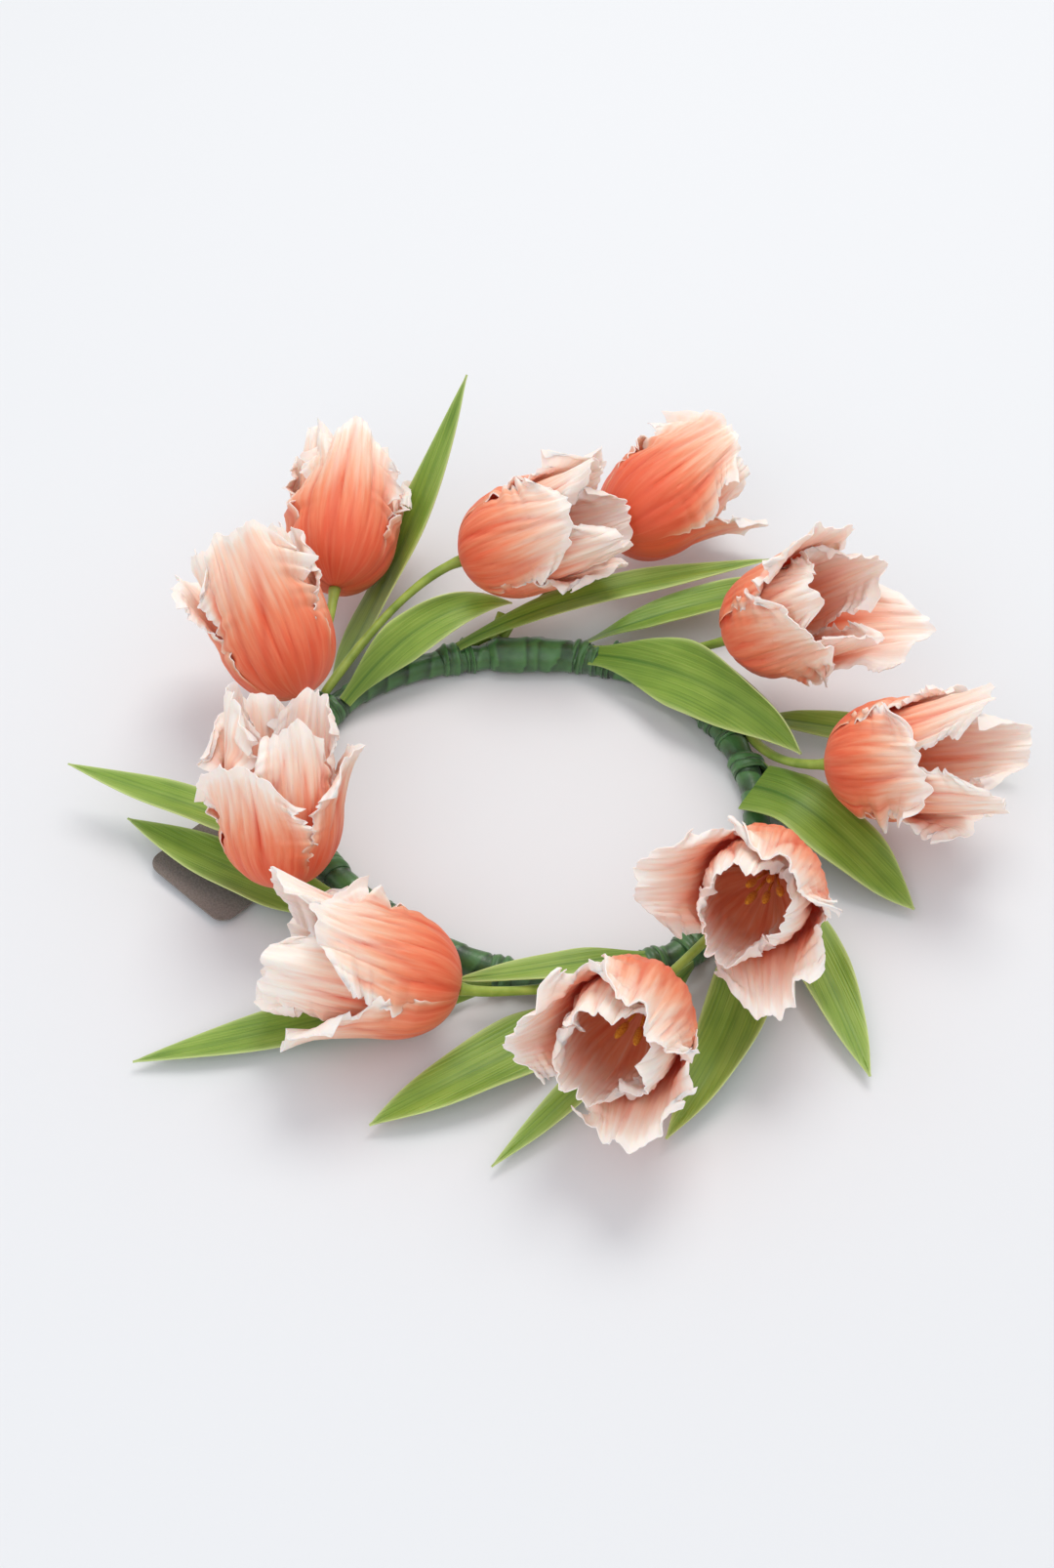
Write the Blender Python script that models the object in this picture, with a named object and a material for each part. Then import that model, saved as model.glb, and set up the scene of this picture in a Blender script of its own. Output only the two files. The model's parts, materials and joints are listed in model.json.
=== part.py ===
"""Flower crown: a hand-bent wire ring wound with floral tape, ten wired parrot tulips, sixteen
strap leaves and a blank card tag. Metres, +Z up.

The origin is the middle of the head opening, on the plane that the ring rests on. Every stem and
leaf leaves the ring clockwise, seen from above. The back of the crown is +Y, where the wire's two
ends overlap inside the thick binding.
"""

import math
from collections import namedtuple

import bmesh
import bpy
from mathutils import Vector

MM = 0.001
GAP = 0.0003  # the air left between pieces that touch

# The ring: half axes of its centre line, an oval pulled slightly out of true by hand.
RING_HALF_LONG = 0.0955
RING_HALF_SHORT = 0.0820
RING_TURN = -24  # degrees from +X to the long axis
RING_LOBE = 0.037  # share by which three gentle lobes swell the oval
RING_LOBE_TURN = 45
RING_STEP = 7.5  # degrees between the ring's cross sections

TAPE_RADIUS = 0.0054
TAPE_SIDES = 10
BORE_RADIUS = 0.0022
WIRE_RADIUS = 0.0016
WIRE_SIDES = 6

# The binding over the wire's overlapping ends.
BINDING_ANGLE = 90
BINDING_SPAN = 26
BINDING_WIDTH = 0.0165
BINDING_HEIGHT = 0.0140
BINDING_BORE = 0.0042
WIRE_OVERLAP = 12  # degrees by which the two ends pass each other
WIRE_END_SHIFT = 0.0019

# Stems and blooms.
STEM_RADIUS = 0.0021
STEM_SIDES = 8
STEM_STATIONS = 9
STEM_LENGTH_SCALE = 1.0
STEM_LEAVE = 0.42  # share of its length over which a stem still follows the ring
STEM_NECK = 0.25  # share of its length that is already in line with the bloom
HEAD_LENGTH = 0.072
HEAD_RADIUS = 0.0235
PETAL_WALL = 0.0012
PETAL_COLUMNS = 12
PETALS_PER_WHORL = 3
INNER_RISE = 0.0020  # the inner whorl's floor above the outer whorl's floor
INNER_CLEARANCE = 0.0010  # the air between the two whorls' walls
STAMEN_RADIUS = 0.0045
STAMEN_LENGTH = 0.0190

# Leaves.
LEAF_THICKNESS = 0.0010
LEAF_STATIONS = 9
LEAF_FOOT_SHARE = 0.30  # the foot's width, as a share of the leaf's width
LEAF_WIDTH_SCALE = 1.0
LEAF_REACH_SCALE = 1.0

# The hang tag.
TAG_LENGTH = 0.042
TAG_WIDTH = 0.045
TAG_THICKNESS = 0.0010
TAG_CORNER = 0.006
TAG_HOLE_RADIUS = 0.0020
TAG_HOLE_INSET = 0.006
TAG_FLOOR = 0.0015  # how high the card lies
TAG_ANGLE = 183  # where on the ring it is tied
TAG_HEADING = 227  # the way it points, in degrees from +X
TAG_DROP = 85  # degrees that it swings down when the crown is picked up
TAG_TIE_GAP = 0.0120  # from the ring's outer side to the card's near edge

# The planting plan. Every angle is in degrees and every length in millimetres.
#   foot     place of the foot round the ring, from +X
#   seat     place of the foot on the ring's own section: 0 outside, 90 on top, 180 inside
#   veer     heading at the foot, outwards from the clockwise tangent
#   reach    distance covered in plan
#   bend     how far the heading turns along the leaf, outwards positive
#   heights  of the middle rib at the foot, at a third, at two thirds and at the tip
#   fold     how far the two halves fold up about the rib
#   rolls    of the leaf about its rib at the middle and at the tip, outer edge up positive
Leaf = namedtuple("Leaf", "foot seat veer reach bend heights width fold rolls foot_share")
LEAVES = {
    "leaf_01": Leaf(114, 90, 1, 148, -12, (11, 20, 20, 19), 15, 15, (0, 0), LEAF_FOOT_SHARE),
    "leaf_02": Leaf(76, 50, 40, 128, -20, (9, 13, 14, 15), 18, 30, (0, 0), LEAF_FOOT_SHARE),
    "leaf_03": Leaf(72, 110, -4, 108, -34, (11, 20, 24, 24), 30, 10, (38, 10), LEAF_FOOT_SHARE),
    "leaf_04": Leaf(30, 10, 50, 122, -10, (7, 8, 9, 10), 16, 20, (0, 0), LEAF_FOOT_SHARE),
    "leaf_05": Leaf(12, 10, 32, 76, -10, (6, 8, 7, 5), 20, 25, (0, 0), LEAF_FOOT_SHARE),
    "leaf_06": Leaf(2, 95, 52, 82, -16, (13, 16, 10, 5), 28, 12, (0, 0), 0.9),
    "leaf_07": Leaf(-18, 0, 38, 104, -6, (5, 5, 6, 5), 22, 20, (0, 0), LEAF_FOOT_SHARE),
    "leaf_08": Leaf(-26, 10, 22, 122, -32, (5, 6, 8, 6), 26, 30, (0, 0), LEAF_FOOT_SHARE),
    "leaf_09": Leaf(-50, 0, 14, 120, -10, (5, 6, 5, 4), 15, 20, (0, 0), LEAF_FOOT_SHARE),
    "leaf_10": Leaf(-60, 95, -8, 78, -20, (11, 19, 20, 18), 12, 20, (0, 0), LEAF_FOOT_SHARE),
    "leaf_11": Leaf(-71, 0, 20, 108, -12, (5, 6, 8, 5), 26, 15, (0, 0), LEAF_FOOT_SHARE),
    "leaf_12": Leaf(-98, 10, 22, 139, 0, (6, 6, 5, 4), 20, 15, (0, 0), LEAF_FOOT_SHARE),
    "leaf_13": Leaf(-135, 20, 24, 112, -10, (7, 7, 8, 10), 24, 20, (0, 0), LEAF_FOOT_SHARE),
    "leaf_14": Leaf(-157, 80, 46, 113, 0, (11, 18, 20, 22), 17, 20, (0, 0), LEAF_FOOT_SHARE),
    "leaf_15": Leaf(147, 130, -6, 84, -38, (10, 21, 28, 24), 20, 15, (30, 10), LEAF_FOOT_SHARE),
    "leaf_16": Leaf(150, 5, 8, 142, -8, (6, 11, 34, 78), 24, 12, (-40, -10), LEAF_FOOT_SHARE),
}

#   height   height of the bloom's base
#   turn     the bloom's own heading, outwards from the clockwise tangent at the foot
#   pitch    the bloom's rise above level
#   open     0 a closed bud, 1 wide open
#   spin     of the petals about the bloom's axis
#   lift     the largest angle that the stem can be bent up by, about its foot
#   swing    the largest angle that it can be bent outwards by, where others lie over it
Tulip = namedtuple("Tulip", "foot seat veer reach height turn pitch open spin lift swing")
TULIPS = {
    "tulip_01": Tulip(150, 60, -15, 83, 35, -60, 24, 0.25, 10, 20, 0),
    "tulip_02": Tulip(108, 0, 15, 75, 31, 22, 7, 0.05, 40, 0, 20),
    "tulip_03": Tulip(66, 20, 8, 50, 30, -1, 45, 0.6, 0, 20, 0),
    "tulip_04": Tulip(22, 10, 15, 46, 30, 50, 24, 0.55, 20, 0, 15),
    "tulip_05": Tulip(-12, 40, 6, 34, 30, -8, 36, 0.75, 60, 18, 0),
    "tulip_06": Tulip(-34, 50, -2, 66, 25, 13, 32, 0.85, 0, 8, 0),
    "tulip_07": Tulip(-78, 40, 2, 48, 25, -14, 17, 0.6, 30, 0, 12),
    "tulip_08": Tulip(-122, 60, 17, 52, 25, -56, 52, 0.65, 0, 20, 0),
    "tulip_09": Tulip(180, 40, -12, 36, 30, 28, 38, 0.6, 50, 20, 0),
    "tulip_10": Tulip(162, 50, 5, 67, 30, 13, 15, 0.25, 0, 10, 0),
}

BODY_SHAPE = ((0.0, 0.30), (0.12, 0.72), (0.32, 1.0), (0.55, 0.98), (0.80, 0.84), (1.0, 0.66))
OPEN_FLARE = 0.75  # how far an open bloom's rim stands out past a closed one's, in head radii
RIM_NOTCH = 0.22  # depth of the notch between two petals, as a share of the head's length

TAPE_GREEN = (0.03, 0.09, 0.035, 1)
LEAF_GREEN = (0.16, 0.32, 0.05, 1)
STEM_GREEN = (0.38, 0.45, 0.10, 1)
CORAL = (0.85, 0.24, 0.13, 1)
PALE_CORAL = (0.93, 0.50, 0.38, 1)
POLLEN = (0.70, 0.26, 0.02, 1)
STEEL = (0.45, 0.45, 0.46, 1)
CARD = (0.20, 0.17, 0.16, 1)


def clear_scene():
    for obj in list(bpy.data.objects):
        bpy.data.objects.remove(obj, do_unlink=True)


def material(name, colour, roughness, metallic=0.0):
    made = bpy.data.materials.new(name)
    made.use_nodes = True
    shader = made.node_tree.nodes["Principled BSDF"]
    shader.inputs["Base Color"].default_value = colour
    shader.inputs["Roughness"].default_value = roughness
    shader.inputs["Metallic"].default_value = metallic
    return made


def solid(name, shape, finish, origin=(0, 0, 0)):
    """Makes an object of a closed bmesh, with its origin at the point given."""
    origin = Vector(origin)
    bmesh.ops.translate(shape, verts=shape.verts, vec=-origin)
    bmesh.ops.recalc_face_normals(shape, faces=shape.faces)
    mesh = bpy.data.meshes.new(name)
    shape.to_mesh(mesh)
    shape.free()
    mesh.materials.append(finish)
    mesh.shade_smooth()
    mesh.set_sharp_from_angle(angle=math.radians(40))
    obj = bpy.data.objects.new(name, mesh)
    obj.location = origin
    bpy.context.scene.collection.objects.link(obj)
    return obj


def skin(shape, loops, closed_along=False):
    """Joins a row of equal loops of vertices with quads. Each loop is closed on itself."""
    pairs = list(zip(loops, loops[1:]))
    if closed_along:
        pairs.append((loops[-1], loops[0]))
    for near, far in pairs:
        count = len(near)
        for i in range(count):
            j = (i + 1) % count
            shape.faces.new((near[i], near[j], far[j], far[i]))


def loop_of(shape, points):
    return [shape.verts.new(point) for point in points]


# The ring's own geometry: places on it, and the directions along it and out of it.


def ring_radius(angle):
    turned = math.radians(angle - RING_TURN)
    across = math.hypot(RING_HALF_SHORT * math.cos(turned), RING_HALF_LONG * math.sin(turned))
    oval = RING_HALF_LONG * RING_HALF_SHORT / across
    return oval * (1 + RING_LOBE * math.cos(math.radians(3 * (angle - RING_LOBE_TURN))))


def outward(angle):
    return Vector((math.cos(math.radians(angle)), math.sin(math.radians(angle)), 0))


def clockwise(angle):
    return Vector((math.sin(math.radians(angle)), -math.cos(math.radians(angle)), 0))


RING_HEIGHT = TAPE_RADIUS * math.cos(math.pi / TAPE_SIDES)


def on_ring(angle, out=0.0, up=0.0):
    return outward(angle) * (ring_radius(angle) + out) + Vector((0, 0, RING_HEIGHT + up))


def ring_angles(start, end):
    """The section angles from start to end, on the ring's even steps, with both ends kept."""
    first = math.floor(start / RING_STEP) + 1
    last = math.ceil(end / RING_STEP) - 1
    inner = [i * RING_STEP for i in range(first, last + 1)]
    spaced = [a for a in inner if min(a - start, end - a) > RING_STEP / 4]
    return [start] + spaced + [end]


def ring_section(angle, wide, high, sides, lift=0.0, out=0.0):
    """A closed outline round the ring's centre line, with one flat side underneath."""
    points = []
    for i in range(sides):
        turn = 2 * math.pi * (i + 0.5) / sides - math.pi / 2
        points.append(on_ring(angle, out + wide * math.cos(turn), lift + high * math.sin(turn)))
    return points


def hollow_band(name, angles, outer, bore, finish):
    """A tube along part of the ring, open at both ends, from two functions of the angle."""
    shape = bmesh.new()
    skins = [loop_of(shape, outer(angle)) for angle in angles]
    bores = [loop_of(shape, bore(angle)) for angle in reversed(angles)]
    skin(shape, skins + bores, closed_along=True)
    return solid(name, shape, finish)


def ring_tape(finish):
    start = BINDING_ANGLE + BINDING_SPAN / 2
    edge = math.degrees(GAP / ring_radius(BINDING_ANGLE))
    angles = ring_angles(start + edge, start - BINDING_SPAN + 360 - edge)
    return hollow_band(
        "ring_tape",
        angles,
        lambda a: ring_section(a, TAPE_RADIUS, TAPE_RADIUS, TAPE_SIDES),
        lambda a: ring_section(a, BORE_RADIUS, BORE_RADIUS, TAPE_SIDES),
        finish,
    )


def joint_binding(finish):
    start = BINDING_ANGLE - BINDING_SPAN / 2
    angles = [start + BINDING_SPAN * i / 6 for i in range(7)]
    half_high = BINDING_HEIGHT / 2 / math.cos(math.pi / TAPE_SIDES)
    lift = BINDING_HEIGHT / 2 - RING_HEIGHT

    def outer(angle):
        swell = 1 - 0.12 * (2 * (angle - BINDING_ANGLE) / BINDING_SPAN) ** 2
        points = ring_section(angle, BINDING_WIDTH / 2 * swell, half_high, TAPE_SIDES, lift)
        return points

    return hollow_band(
        "joint_binding",
        angles,
        outer,
        lambda a: ring_section(a, BINDING_BORE, BORE_RADIUS, TAPE_SIDES),
        finish,
    )


def ring_wire(finish):
    """One length of wire, once round, whose ends pass side by side inside the binding."""
    start = BINDING_ANGLE - WIRE_OVERLAP / 2
    end = start + 360 + WIRE_OVERLAP
    settle = (BINDING_SPAN - WIRE_OVERLAP) / 2 - 1
    shape = bmesh.new()
    loops = []
    for angle in ring_angles(start, end):
        near_start = max(0.0, 1 - max(0.0, angle - start - WIRE_OVERLAP) / settle)
        near_end = max(0.0, 1 - max(0.0, end - WIRE_OVERLAP - angle) / settle)
        out = WIRE_END_SHIFT * (near_end - near_start)
        loops.append(loop_of(shape, ring_section(angle, WIRE_RADIUS, WIRE_RADIUS, WIRE_SIDES, 0, out)))
    skin(shape, loops)
    shape.faces.new(loops[0])
    shape.faces.new(loops[-1])
    return solid("ring_wire", shape, finish)


# Leaves.


def through_four(values, along):
    """A smooth curve through four values spaced evenly from 0 to 1."""
    total = 0.0
    for i, value in enumerate(values):
        weight = 1.0
        for j in range(4):
            if j != i:
                weight *= (along * 3 - j) / (i - j)
        total += value * weight
    return total


def eased(low, high, along):
    along = min(1.0, max(0.0, along))
    return low + (high - low) * along * along * (3 - 2 * along)


def leaf_half_width(plan, along):
    """Narrow at the foot, widest at two fifths, drawn out to a point."""
    widest = 0.42
    if along < widest:
        share = eased(plan.foot_share, 1.0, along / widest)
    else:
        share = 1 - ((along - widest) / (1 - widest)) ** 2.2
    return max(0.06, share) * plan.width * MM * LEAF_WIDTH_SCALE / 2


def leaf_rib(plan):
    """Points along the middle rib, from the foot to the tip."""
    seat = math.radians(plan.seat)
    clear = TAPE_RADIUS + GAP + LEAF_THICKNESS / 2
    point = on_ring(plan.foot, clear * math.cos(seat), clear * math.sin(seat))
    fine = 10
    steps = (LEAF_STATIONS - 1) * fine
    first_drop = point.z - plan.heights[0] * MM
    points = []
    for i in range(steps + 1):
        along = i / steps
        height = through_four(plan.heights, along) * MM + first_drop * (1 - min(1.0, along * 4))
        if i % fine == 0:
            points.append(Vector((point.x, point.y, height)))
        veer = math.radians(plan.veer + plan.bend * along)
        heading = clockwise(plan.foot) * math.cos(veer) + outward(plan.foot) * math.sin(veer)
        point = point + heading * (plan.reach * MM * LEAF_REACH_SCALE / steps)
    return points


def leaf(name, plan, finish):
    ribs = leaf_rib(plan)
    across = (-1.0, -0.5, 0.0, 0.5, 1.0)
    tops = []
    bottoms = []
    shape = bmesh.new()
    for i, rib in enumerate(ribs):
        along = i / (LEAF_STATIONS - 1)
        ahead = (ribs[min(i + 1, len(ribs) - 1)] - ribs[max(i - 1, 0)]).normalized()
        level = Vector((0, 0, 1)).cross(ahead).normalized()
        up = ahead.cross(level)
        laid = eased(plan.rolls[0], plan.rolls[1], along * 2 - 1)
        roll = math.radians(eased(plan.seat - 90, laid, along * 4))
        side = level * math.cos(roll) + up * math.sin(roll)
        normal = up * math.cos(roll) - level * math.sin(roll)
        fold = math.radians(eased(0, plan.fold, along * 3)) * (1 - 0.6 * along)
        half = leaf_half_width(plan, along)
        top = []
        bottom = []
        for u in across:
            middle = rib + side * (u * half * math.cos(fold)) + normal * (abs(u) * half * math.sin(fold))
            lean = math.copysign(math.sin(fold), u) if u else 0.0
            thick = normal * math.cos(fold) - side * lean if u else normal / math.cos(fold)
            top.append(shape.verts.new(middle + thick * (LEAF_THICKNESS / 2)))
            bottom.append(shape.verts.new(middle - thick * (LEAF_THICKNESS / 2)))
        tops.append(top)
        bottoms.append(bottom)
    loops = [top + bottom[::-1] for top, bottom in zip(tops, bottoms)]
    skin(shape, loops)
    for top, bottom in ((tops[0], bottoms[0]), (tops[-1], bottoms[-1])):
        for i in range(len(across) - 1):
            shape.faces.new((top[i], top[i + 1], bottom[i + 1], bottom[i]))
    return solid(name, shape, finish)


# Tulips.


def bloom_axis(plan):
    turn = math.radians(plan.turn)
    pitch = math.radians(plan.pitch)
    level = clockwise(plan.foot) * math.cos(turn) + outward(plan.foot) * math.sin(turn)
    return level * math.cos(pitch) + Vector((0, 0, math.sin(pitch)))


def stem_foot(plan):
    seat = math.radians(plan.seat)
    clear = TAPE_RADIUS + GAP + STEM_RADIUS
    return on_ring(plan.foot, clear * math.cos(seat), clear * math.sin(seat))


def bloom_base(plan):
    veer = math.radians(plan.veer)
    level = clockwise(plan.foot) * math.cos(veer) + outward(plan.foot) * math.sin(veer)
    base = stem_foot(plan) + level * (plan.reach * MM * STEM_LENGTH_SCALE)
    base.z = plan.height * MM
    return base


def stem_points(plan):
    """A smooth bend from the foot, along the ring, to the bloom's base, along its axis."""
    start = stem_foot(plan)
    end = bloom_base(plan)
    span = (end - start).length
    leave = start + (clockwise(plan.foot) + Vector((0, 0, 0.2))).normalized() * (span * STEM_LEAVE)
    arrive = end - bloom_axis(plan) * (span * STEM_NECK)
    points = []
    for i in range(STEM_STATIONS):
        t = i / (STEM_STATIONS - 1)
        s = 1 - t
        near = start * (s * s * s) + leave * (3 * s * s * t)
        points.append(near + arrive * (3 * s * t * t) + end * (t * t * t))
    return points


def stem(name, plan, finish):
    """A round stem with a domed foot that turns in place about its joint."""
    points = stem_points(plan)
    shape = bmesh.new()
    loops = []

    def ring_at(centre, ahead, radius):
        side = Vector((0, 0, 1)).cross(ahead).normalized()
        up = ahead.cross(side)
        turns = [2 * math.pi * (i + 0.5) / STEM_SIDES for i in range(STEM_SIDES)]
        rim = [centre + (side * math.cos(a) + up * math.sin(a)) * radius for a in turns]
        loops.append(loop_of(shape, rim))

    first = (points[1] - points[0]).normalized()
    last = bloom_axis(plan)
    for back in (70, 35):
        lean = math.radians(back)
        ring_at(points[0] - first * (STEM_RADIUS * math.sin(lean)), first, STEM_RADIUS * math.cos(lean))
    for i, point in enumerate(points):
        ahead = last if i == len(points) - 1 else (points[i + 1] - points[max(i - 1, 0)]).normalized()
        ring_at(point, ahead, STEM_RADIUS)
    skin(shape, loops)
    shape.faces.new(loops[0])
    shape.faces.new(loops[-1])
    return solid(name, shape, finish, points[0])


def head_radius(share, openness, rows=BODY_SHAPE):
    """The bloom's radius at a share of its length."""
    for (low, near), (high, far) in zip(rows, rows[1:]):
        if share <= high:
            closed = near + (far - near) * (share - low) / (high - low)
            return HEAD_RADIUS * (closed + OPEN_FLARE * openness * max(0.0, share - 0.3) ** 1.5)
    return HEAD_RADIUS * (rows[-1][1] + OPEN_FLARE * openness * 0.7**1.5)


def whorl(name, plan, finish, inset, rise, length, spin):
    """Three petals moulded as one cup: a shell with a notched rim and a closed floor."""
    axis = bloom_axis(plan)
    side = Vector((0, 0, 1)).cross(axis).normalized()
    up = axis.cross(side)
    floor = bloom_base(plan) + axis * (GAP + rise)
    shape = bmesh.new()
    rows = (0.0, 0.12, 0.32, 0.55, 0.80, 1.0)

    def rim(row, shrink, lift, edge):
        points = []
        for i in range(PETAL_COLUMNS):
            turn = 360 * i / PETAL_COLUMNS
            petal = abs(math.sin(math.radians(turn * PETALS_PER_WHORL / 2)))
            reach = length * (1 - RIM_NOTCH * (1 - petal) * edge)
            share = row * reach
            radius = head_radius(share / HEAD_LENGTH, plan.open) - inset - shrink
            a = math.radians(turn + spin)
            out = side * math.cos(a) + up * math.sin(a)
            points.append(floor + axis * (share + lift) + out * max(radius, STEM_RADIUS))
        return points

    outer = [loop_of(shape, rim(row, 0.0, 0.0, row)) for row in rows]
    inner = [loop_of(shape, rim(row, PETAL_WALL, PETAL_WALL * (row == 0), row)) for row in reversed(rows)]
    skin(shape, outer + inner)
    shape.faces.new(outer[0])
    shape.faces.new(inner[-1])
    return solid(name, shape, finish, stem_foot(plan))


def stamens(name, plan, finish):
    """The pistil and the stamens round it, as one tapered cluster standing on the inner floor."""
    axis = bloom_axis(plan)
    side = Vector((0, 0, 1)).cross(axis).normalized()
    up = axis.cross(side)
    floor = bloom_base(plan) + axis * (INNER_RISE + PETAL_WALL + 3 * GAP)
    outline = ((0.0, 0.35), (0.45, 0.5), (0.75, 1.0), (1.0, 0.45))
    shape = bmesh.new()
    loops = []
    for share, wide in outline:
        turns = [math.radians(60 * i) for i in range(6)]
        centre = floor + axis * (share * STAMEN_LENGTH)
        rim = [centre + (side * math.cos(a) + up * math.sin(a)) * (wide * STAMEN_RADIUS) for a in turns]
        loops.append(loop_of(shape, rim))
    skin(shape, loops)
    shape.faces.new(loops[0])
    shape.faces.new(loops[-1])
    return solid(name, shape, finish, stem_foot(plan))


def tulip_axis(plan):
    """The hinge axis at the stem's foot: level and square to the stem, or upright."""
    along = bloom_base(plan) - stem_foot(plan)
    along.z = 0
    return along.normalized().cross(Vector((0, 0, 1))) if plan.lift else Vector((0, 0, 1))


def joint(name, place, axis, low, high):
    """An empty on the joint's axis, which carries the axis and the range in degrees."""
    empty = bpy.data.objects.new(name, None)
    empty.location = place
    empty["axis"] = tuple(axis)
    empty["range_deg"] = (float(low), float(high))
    bpy.context.scene.collection.objects.link(empty)
    return empty


def tulip(name, plan, finishes):
    bend = joint(name + "_bend", stem_foot(plan), tulip_axis(plan), 0, plan.lift + plan.swing)
    inner_inset = PETAL_WALL + INNER_CLEARANCE
    pieces = (
        stem(name + "_stem", plan, finishes["stem"]),
        whorl(name + "_outer_petals", plan, finishes["petal"], 0.0, 0.0, HEAD_LENGTH * 0.94, plan.spin),
        whorl(
            name + "_inner_petals",
            plan,
            finishes["inner_petal"],
            inner_inset,
            INNER_RISE,
            HEAD_LENGTH - INNER_RISE,
            plan.spin + 60,
        ),
        stamens(name + "_stamens", plan, finishes["pollen"]),
    )
    for piece in pieces:
        piece.parent = bend
        piece.location = (0, 0, 0)
    return pieces


# The tag.


def tag_tie():
    """The point on the ring's outer side that the tag hangs from."""
    return on_ring(TAG_ANGLE, TAPE_RADIUS + GAP, 0)


def tag(finish):
    ahead = outward(TAG_HEADING)
    side = Vector((-ahead.y, ahead.x, 0))
    start = tag_tie() + ahead * TAG_TIE_GAP
    start.z = TAG_FLOOR
    corners = []
    for along, across, first in ((1, 1, 0), (0, 1, 90), (0, -1, 180), (1, -1, 270)):
        centre_along = TAG_LENGTH - TAG_CORNER if along else TAG_CORNER
        centre_across = across * (TAG_WIDTH / 2 - TAG_CORNER)
        for i in range(5):
            a = math.radians(first + 90 * i / 4)
            corners.append((centre_along + TAG_CORNER * math.cos(a), centre_across + TAG_CORNER * math.sin(a)))
    count = len(corners)
    hole = []
    for i in range(count):
        a = 2 * math.pi * (i + 0.5) / count
        hole.append((TAG_HOLE_INSET + TAG_HOLE_RADIUS * math.cos(a), TAG_HOLE_RADIUS * math.sin(a)))

    shape = bmesh.new()

    def ring_of(outline, height):
        up = Vector((0, 0, height))
        return loop_of(shape, [start + ahead * x + side * y + up for x, y in outline])

    loops = [ring_of(corners, 0), ring_of(corners, TAG_THICKNESS)]
    loops += [ring_of(hole, TAG_THICKNESS), ring_of(hole, 0)]
    skin(shape, loops, closed_along=True)
    card = solid("tag", shape, finish, tag_tie())
    card.parent = joint("tag_swing", tag_tie(), ahead.cross(Vector((0, 0, 1))), -TAG_DROP, 0)
    card.location = (0, 0, 0)
    return card


def main():
    clear_scene()
    tape = material("floral_tape", TAPE_GREEN, 0.6)
    wire = material("florist_wire", STEEL, 0.4, 1.0)
    leaf_finish = material("leaf_foam", LEAF_GREEN, 0.5)
    card = material("tag_card", CARD, 0.8)
    finishes = {
        "stem": material("stem_foam", STEM_GREEN, 0.5),
        "petal": material("petal_coral", CORAL, 0.55),
        "inner_petal": material("petal_pale", PALE_CORAL, 0.55),
        "pollen": material("stamen_yellow", POLLEN, 0.7),
    }
    ring_wire(wire)
    ring_tape(tape)
    joint_binding(tape)
    for name, plan in LEAVES.items():
        leaf(name, plan, leaf_finish)
    for name, plan in TULIPS.items():
        tulip(name, plan, finishes)
    tag(card)


main()
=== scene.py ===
# %% [markdown]
# # A flower crown of fringed tulips
# A hand-made crown is a ring of stiff wire wound with waxed paper tape, with tulips and strap
# leaves bound onto it one after another, all pointing the same way round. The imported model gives
# the sizes, the places and what moves. This script makes the surfaces: petals with ruffled and
# toothed rims, ribbed leaves, the turns of the tape, and a material for each.

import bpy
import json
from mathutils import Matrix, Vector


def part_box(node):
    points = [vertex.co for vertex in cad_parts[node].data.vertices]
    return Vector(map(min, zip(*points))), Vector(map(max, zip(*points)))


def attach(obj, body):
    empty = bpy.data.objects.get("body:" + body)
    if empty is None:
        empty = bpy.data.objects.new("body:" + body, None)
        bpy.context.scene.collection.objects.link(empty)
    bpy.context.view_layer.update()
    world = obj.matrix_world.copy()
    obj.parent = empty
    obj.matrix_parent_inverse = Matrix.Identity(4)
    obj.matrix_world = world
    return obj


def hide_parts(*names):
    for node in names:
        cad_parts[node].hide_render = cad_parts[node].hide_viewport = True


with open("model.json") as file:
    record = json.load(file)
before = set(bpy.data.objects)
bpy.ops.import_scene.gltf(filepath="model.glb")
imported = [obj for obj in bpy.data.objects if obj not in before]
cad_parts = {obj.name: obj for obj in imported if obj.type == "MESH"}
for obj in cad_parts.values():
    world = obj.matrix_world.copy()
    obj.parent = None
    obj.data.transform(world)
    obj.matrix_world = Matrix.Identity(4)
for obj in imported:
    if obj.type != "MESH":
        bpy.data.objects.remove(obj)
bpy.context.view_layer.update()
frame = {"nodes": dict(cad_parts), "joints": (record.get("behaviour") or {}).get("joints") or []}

# %% Tools used throughout
import json
import math
from collections import namedtuple

import bpy
import numpy as np
from mathutils import Matrix, Vector

MM = 0.001
UP = np.array((0.0, 0.0, 1.0))


def linear(code):
    """An sRGB hex colour as linear red, green, blue and alpha."""
    parts = [int(code[i : i + 2], 16) / 255 for i in (1, 3, 5)]
    light = [c / 12.92 if c <= 0.04045 else ((c + 0.055) / 1.055) ** 2.4 for c in parts]
    return (*light, 1.0)


def add(tree, kind, links=None, **settings):
    """Adds a node. links gives, by socket, a value or the output that feeds it."""
    made = tree.nodes.new(kind)
    for name, value in settings.items():
        setattr(made, name, value)
    for socket, value in (links or {}).items():
        if isinstance(value, bpy.types.NodeSocket):
            tree.links.new(value, made.inputs[socket])
        else:
            made.inputs[socket].default_value = value
    return made


def put(thing):
    """Puts an object in the scene."""
    bpy.context.scene.collection.objects.link(thing)
    return thing


def unit(vectors):
    """Each row of an array made one long."""
    return vectors / np.linalg.norm(vectors, axis=1, keepdims=True)


def smooth(low, high, value):
    """0 below low, 1 above high, with a soft start and end."""
    t = np.clip((value - low) / (high - low), 0, 1)
    return t * t * (3 - 2 * t)


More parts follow.
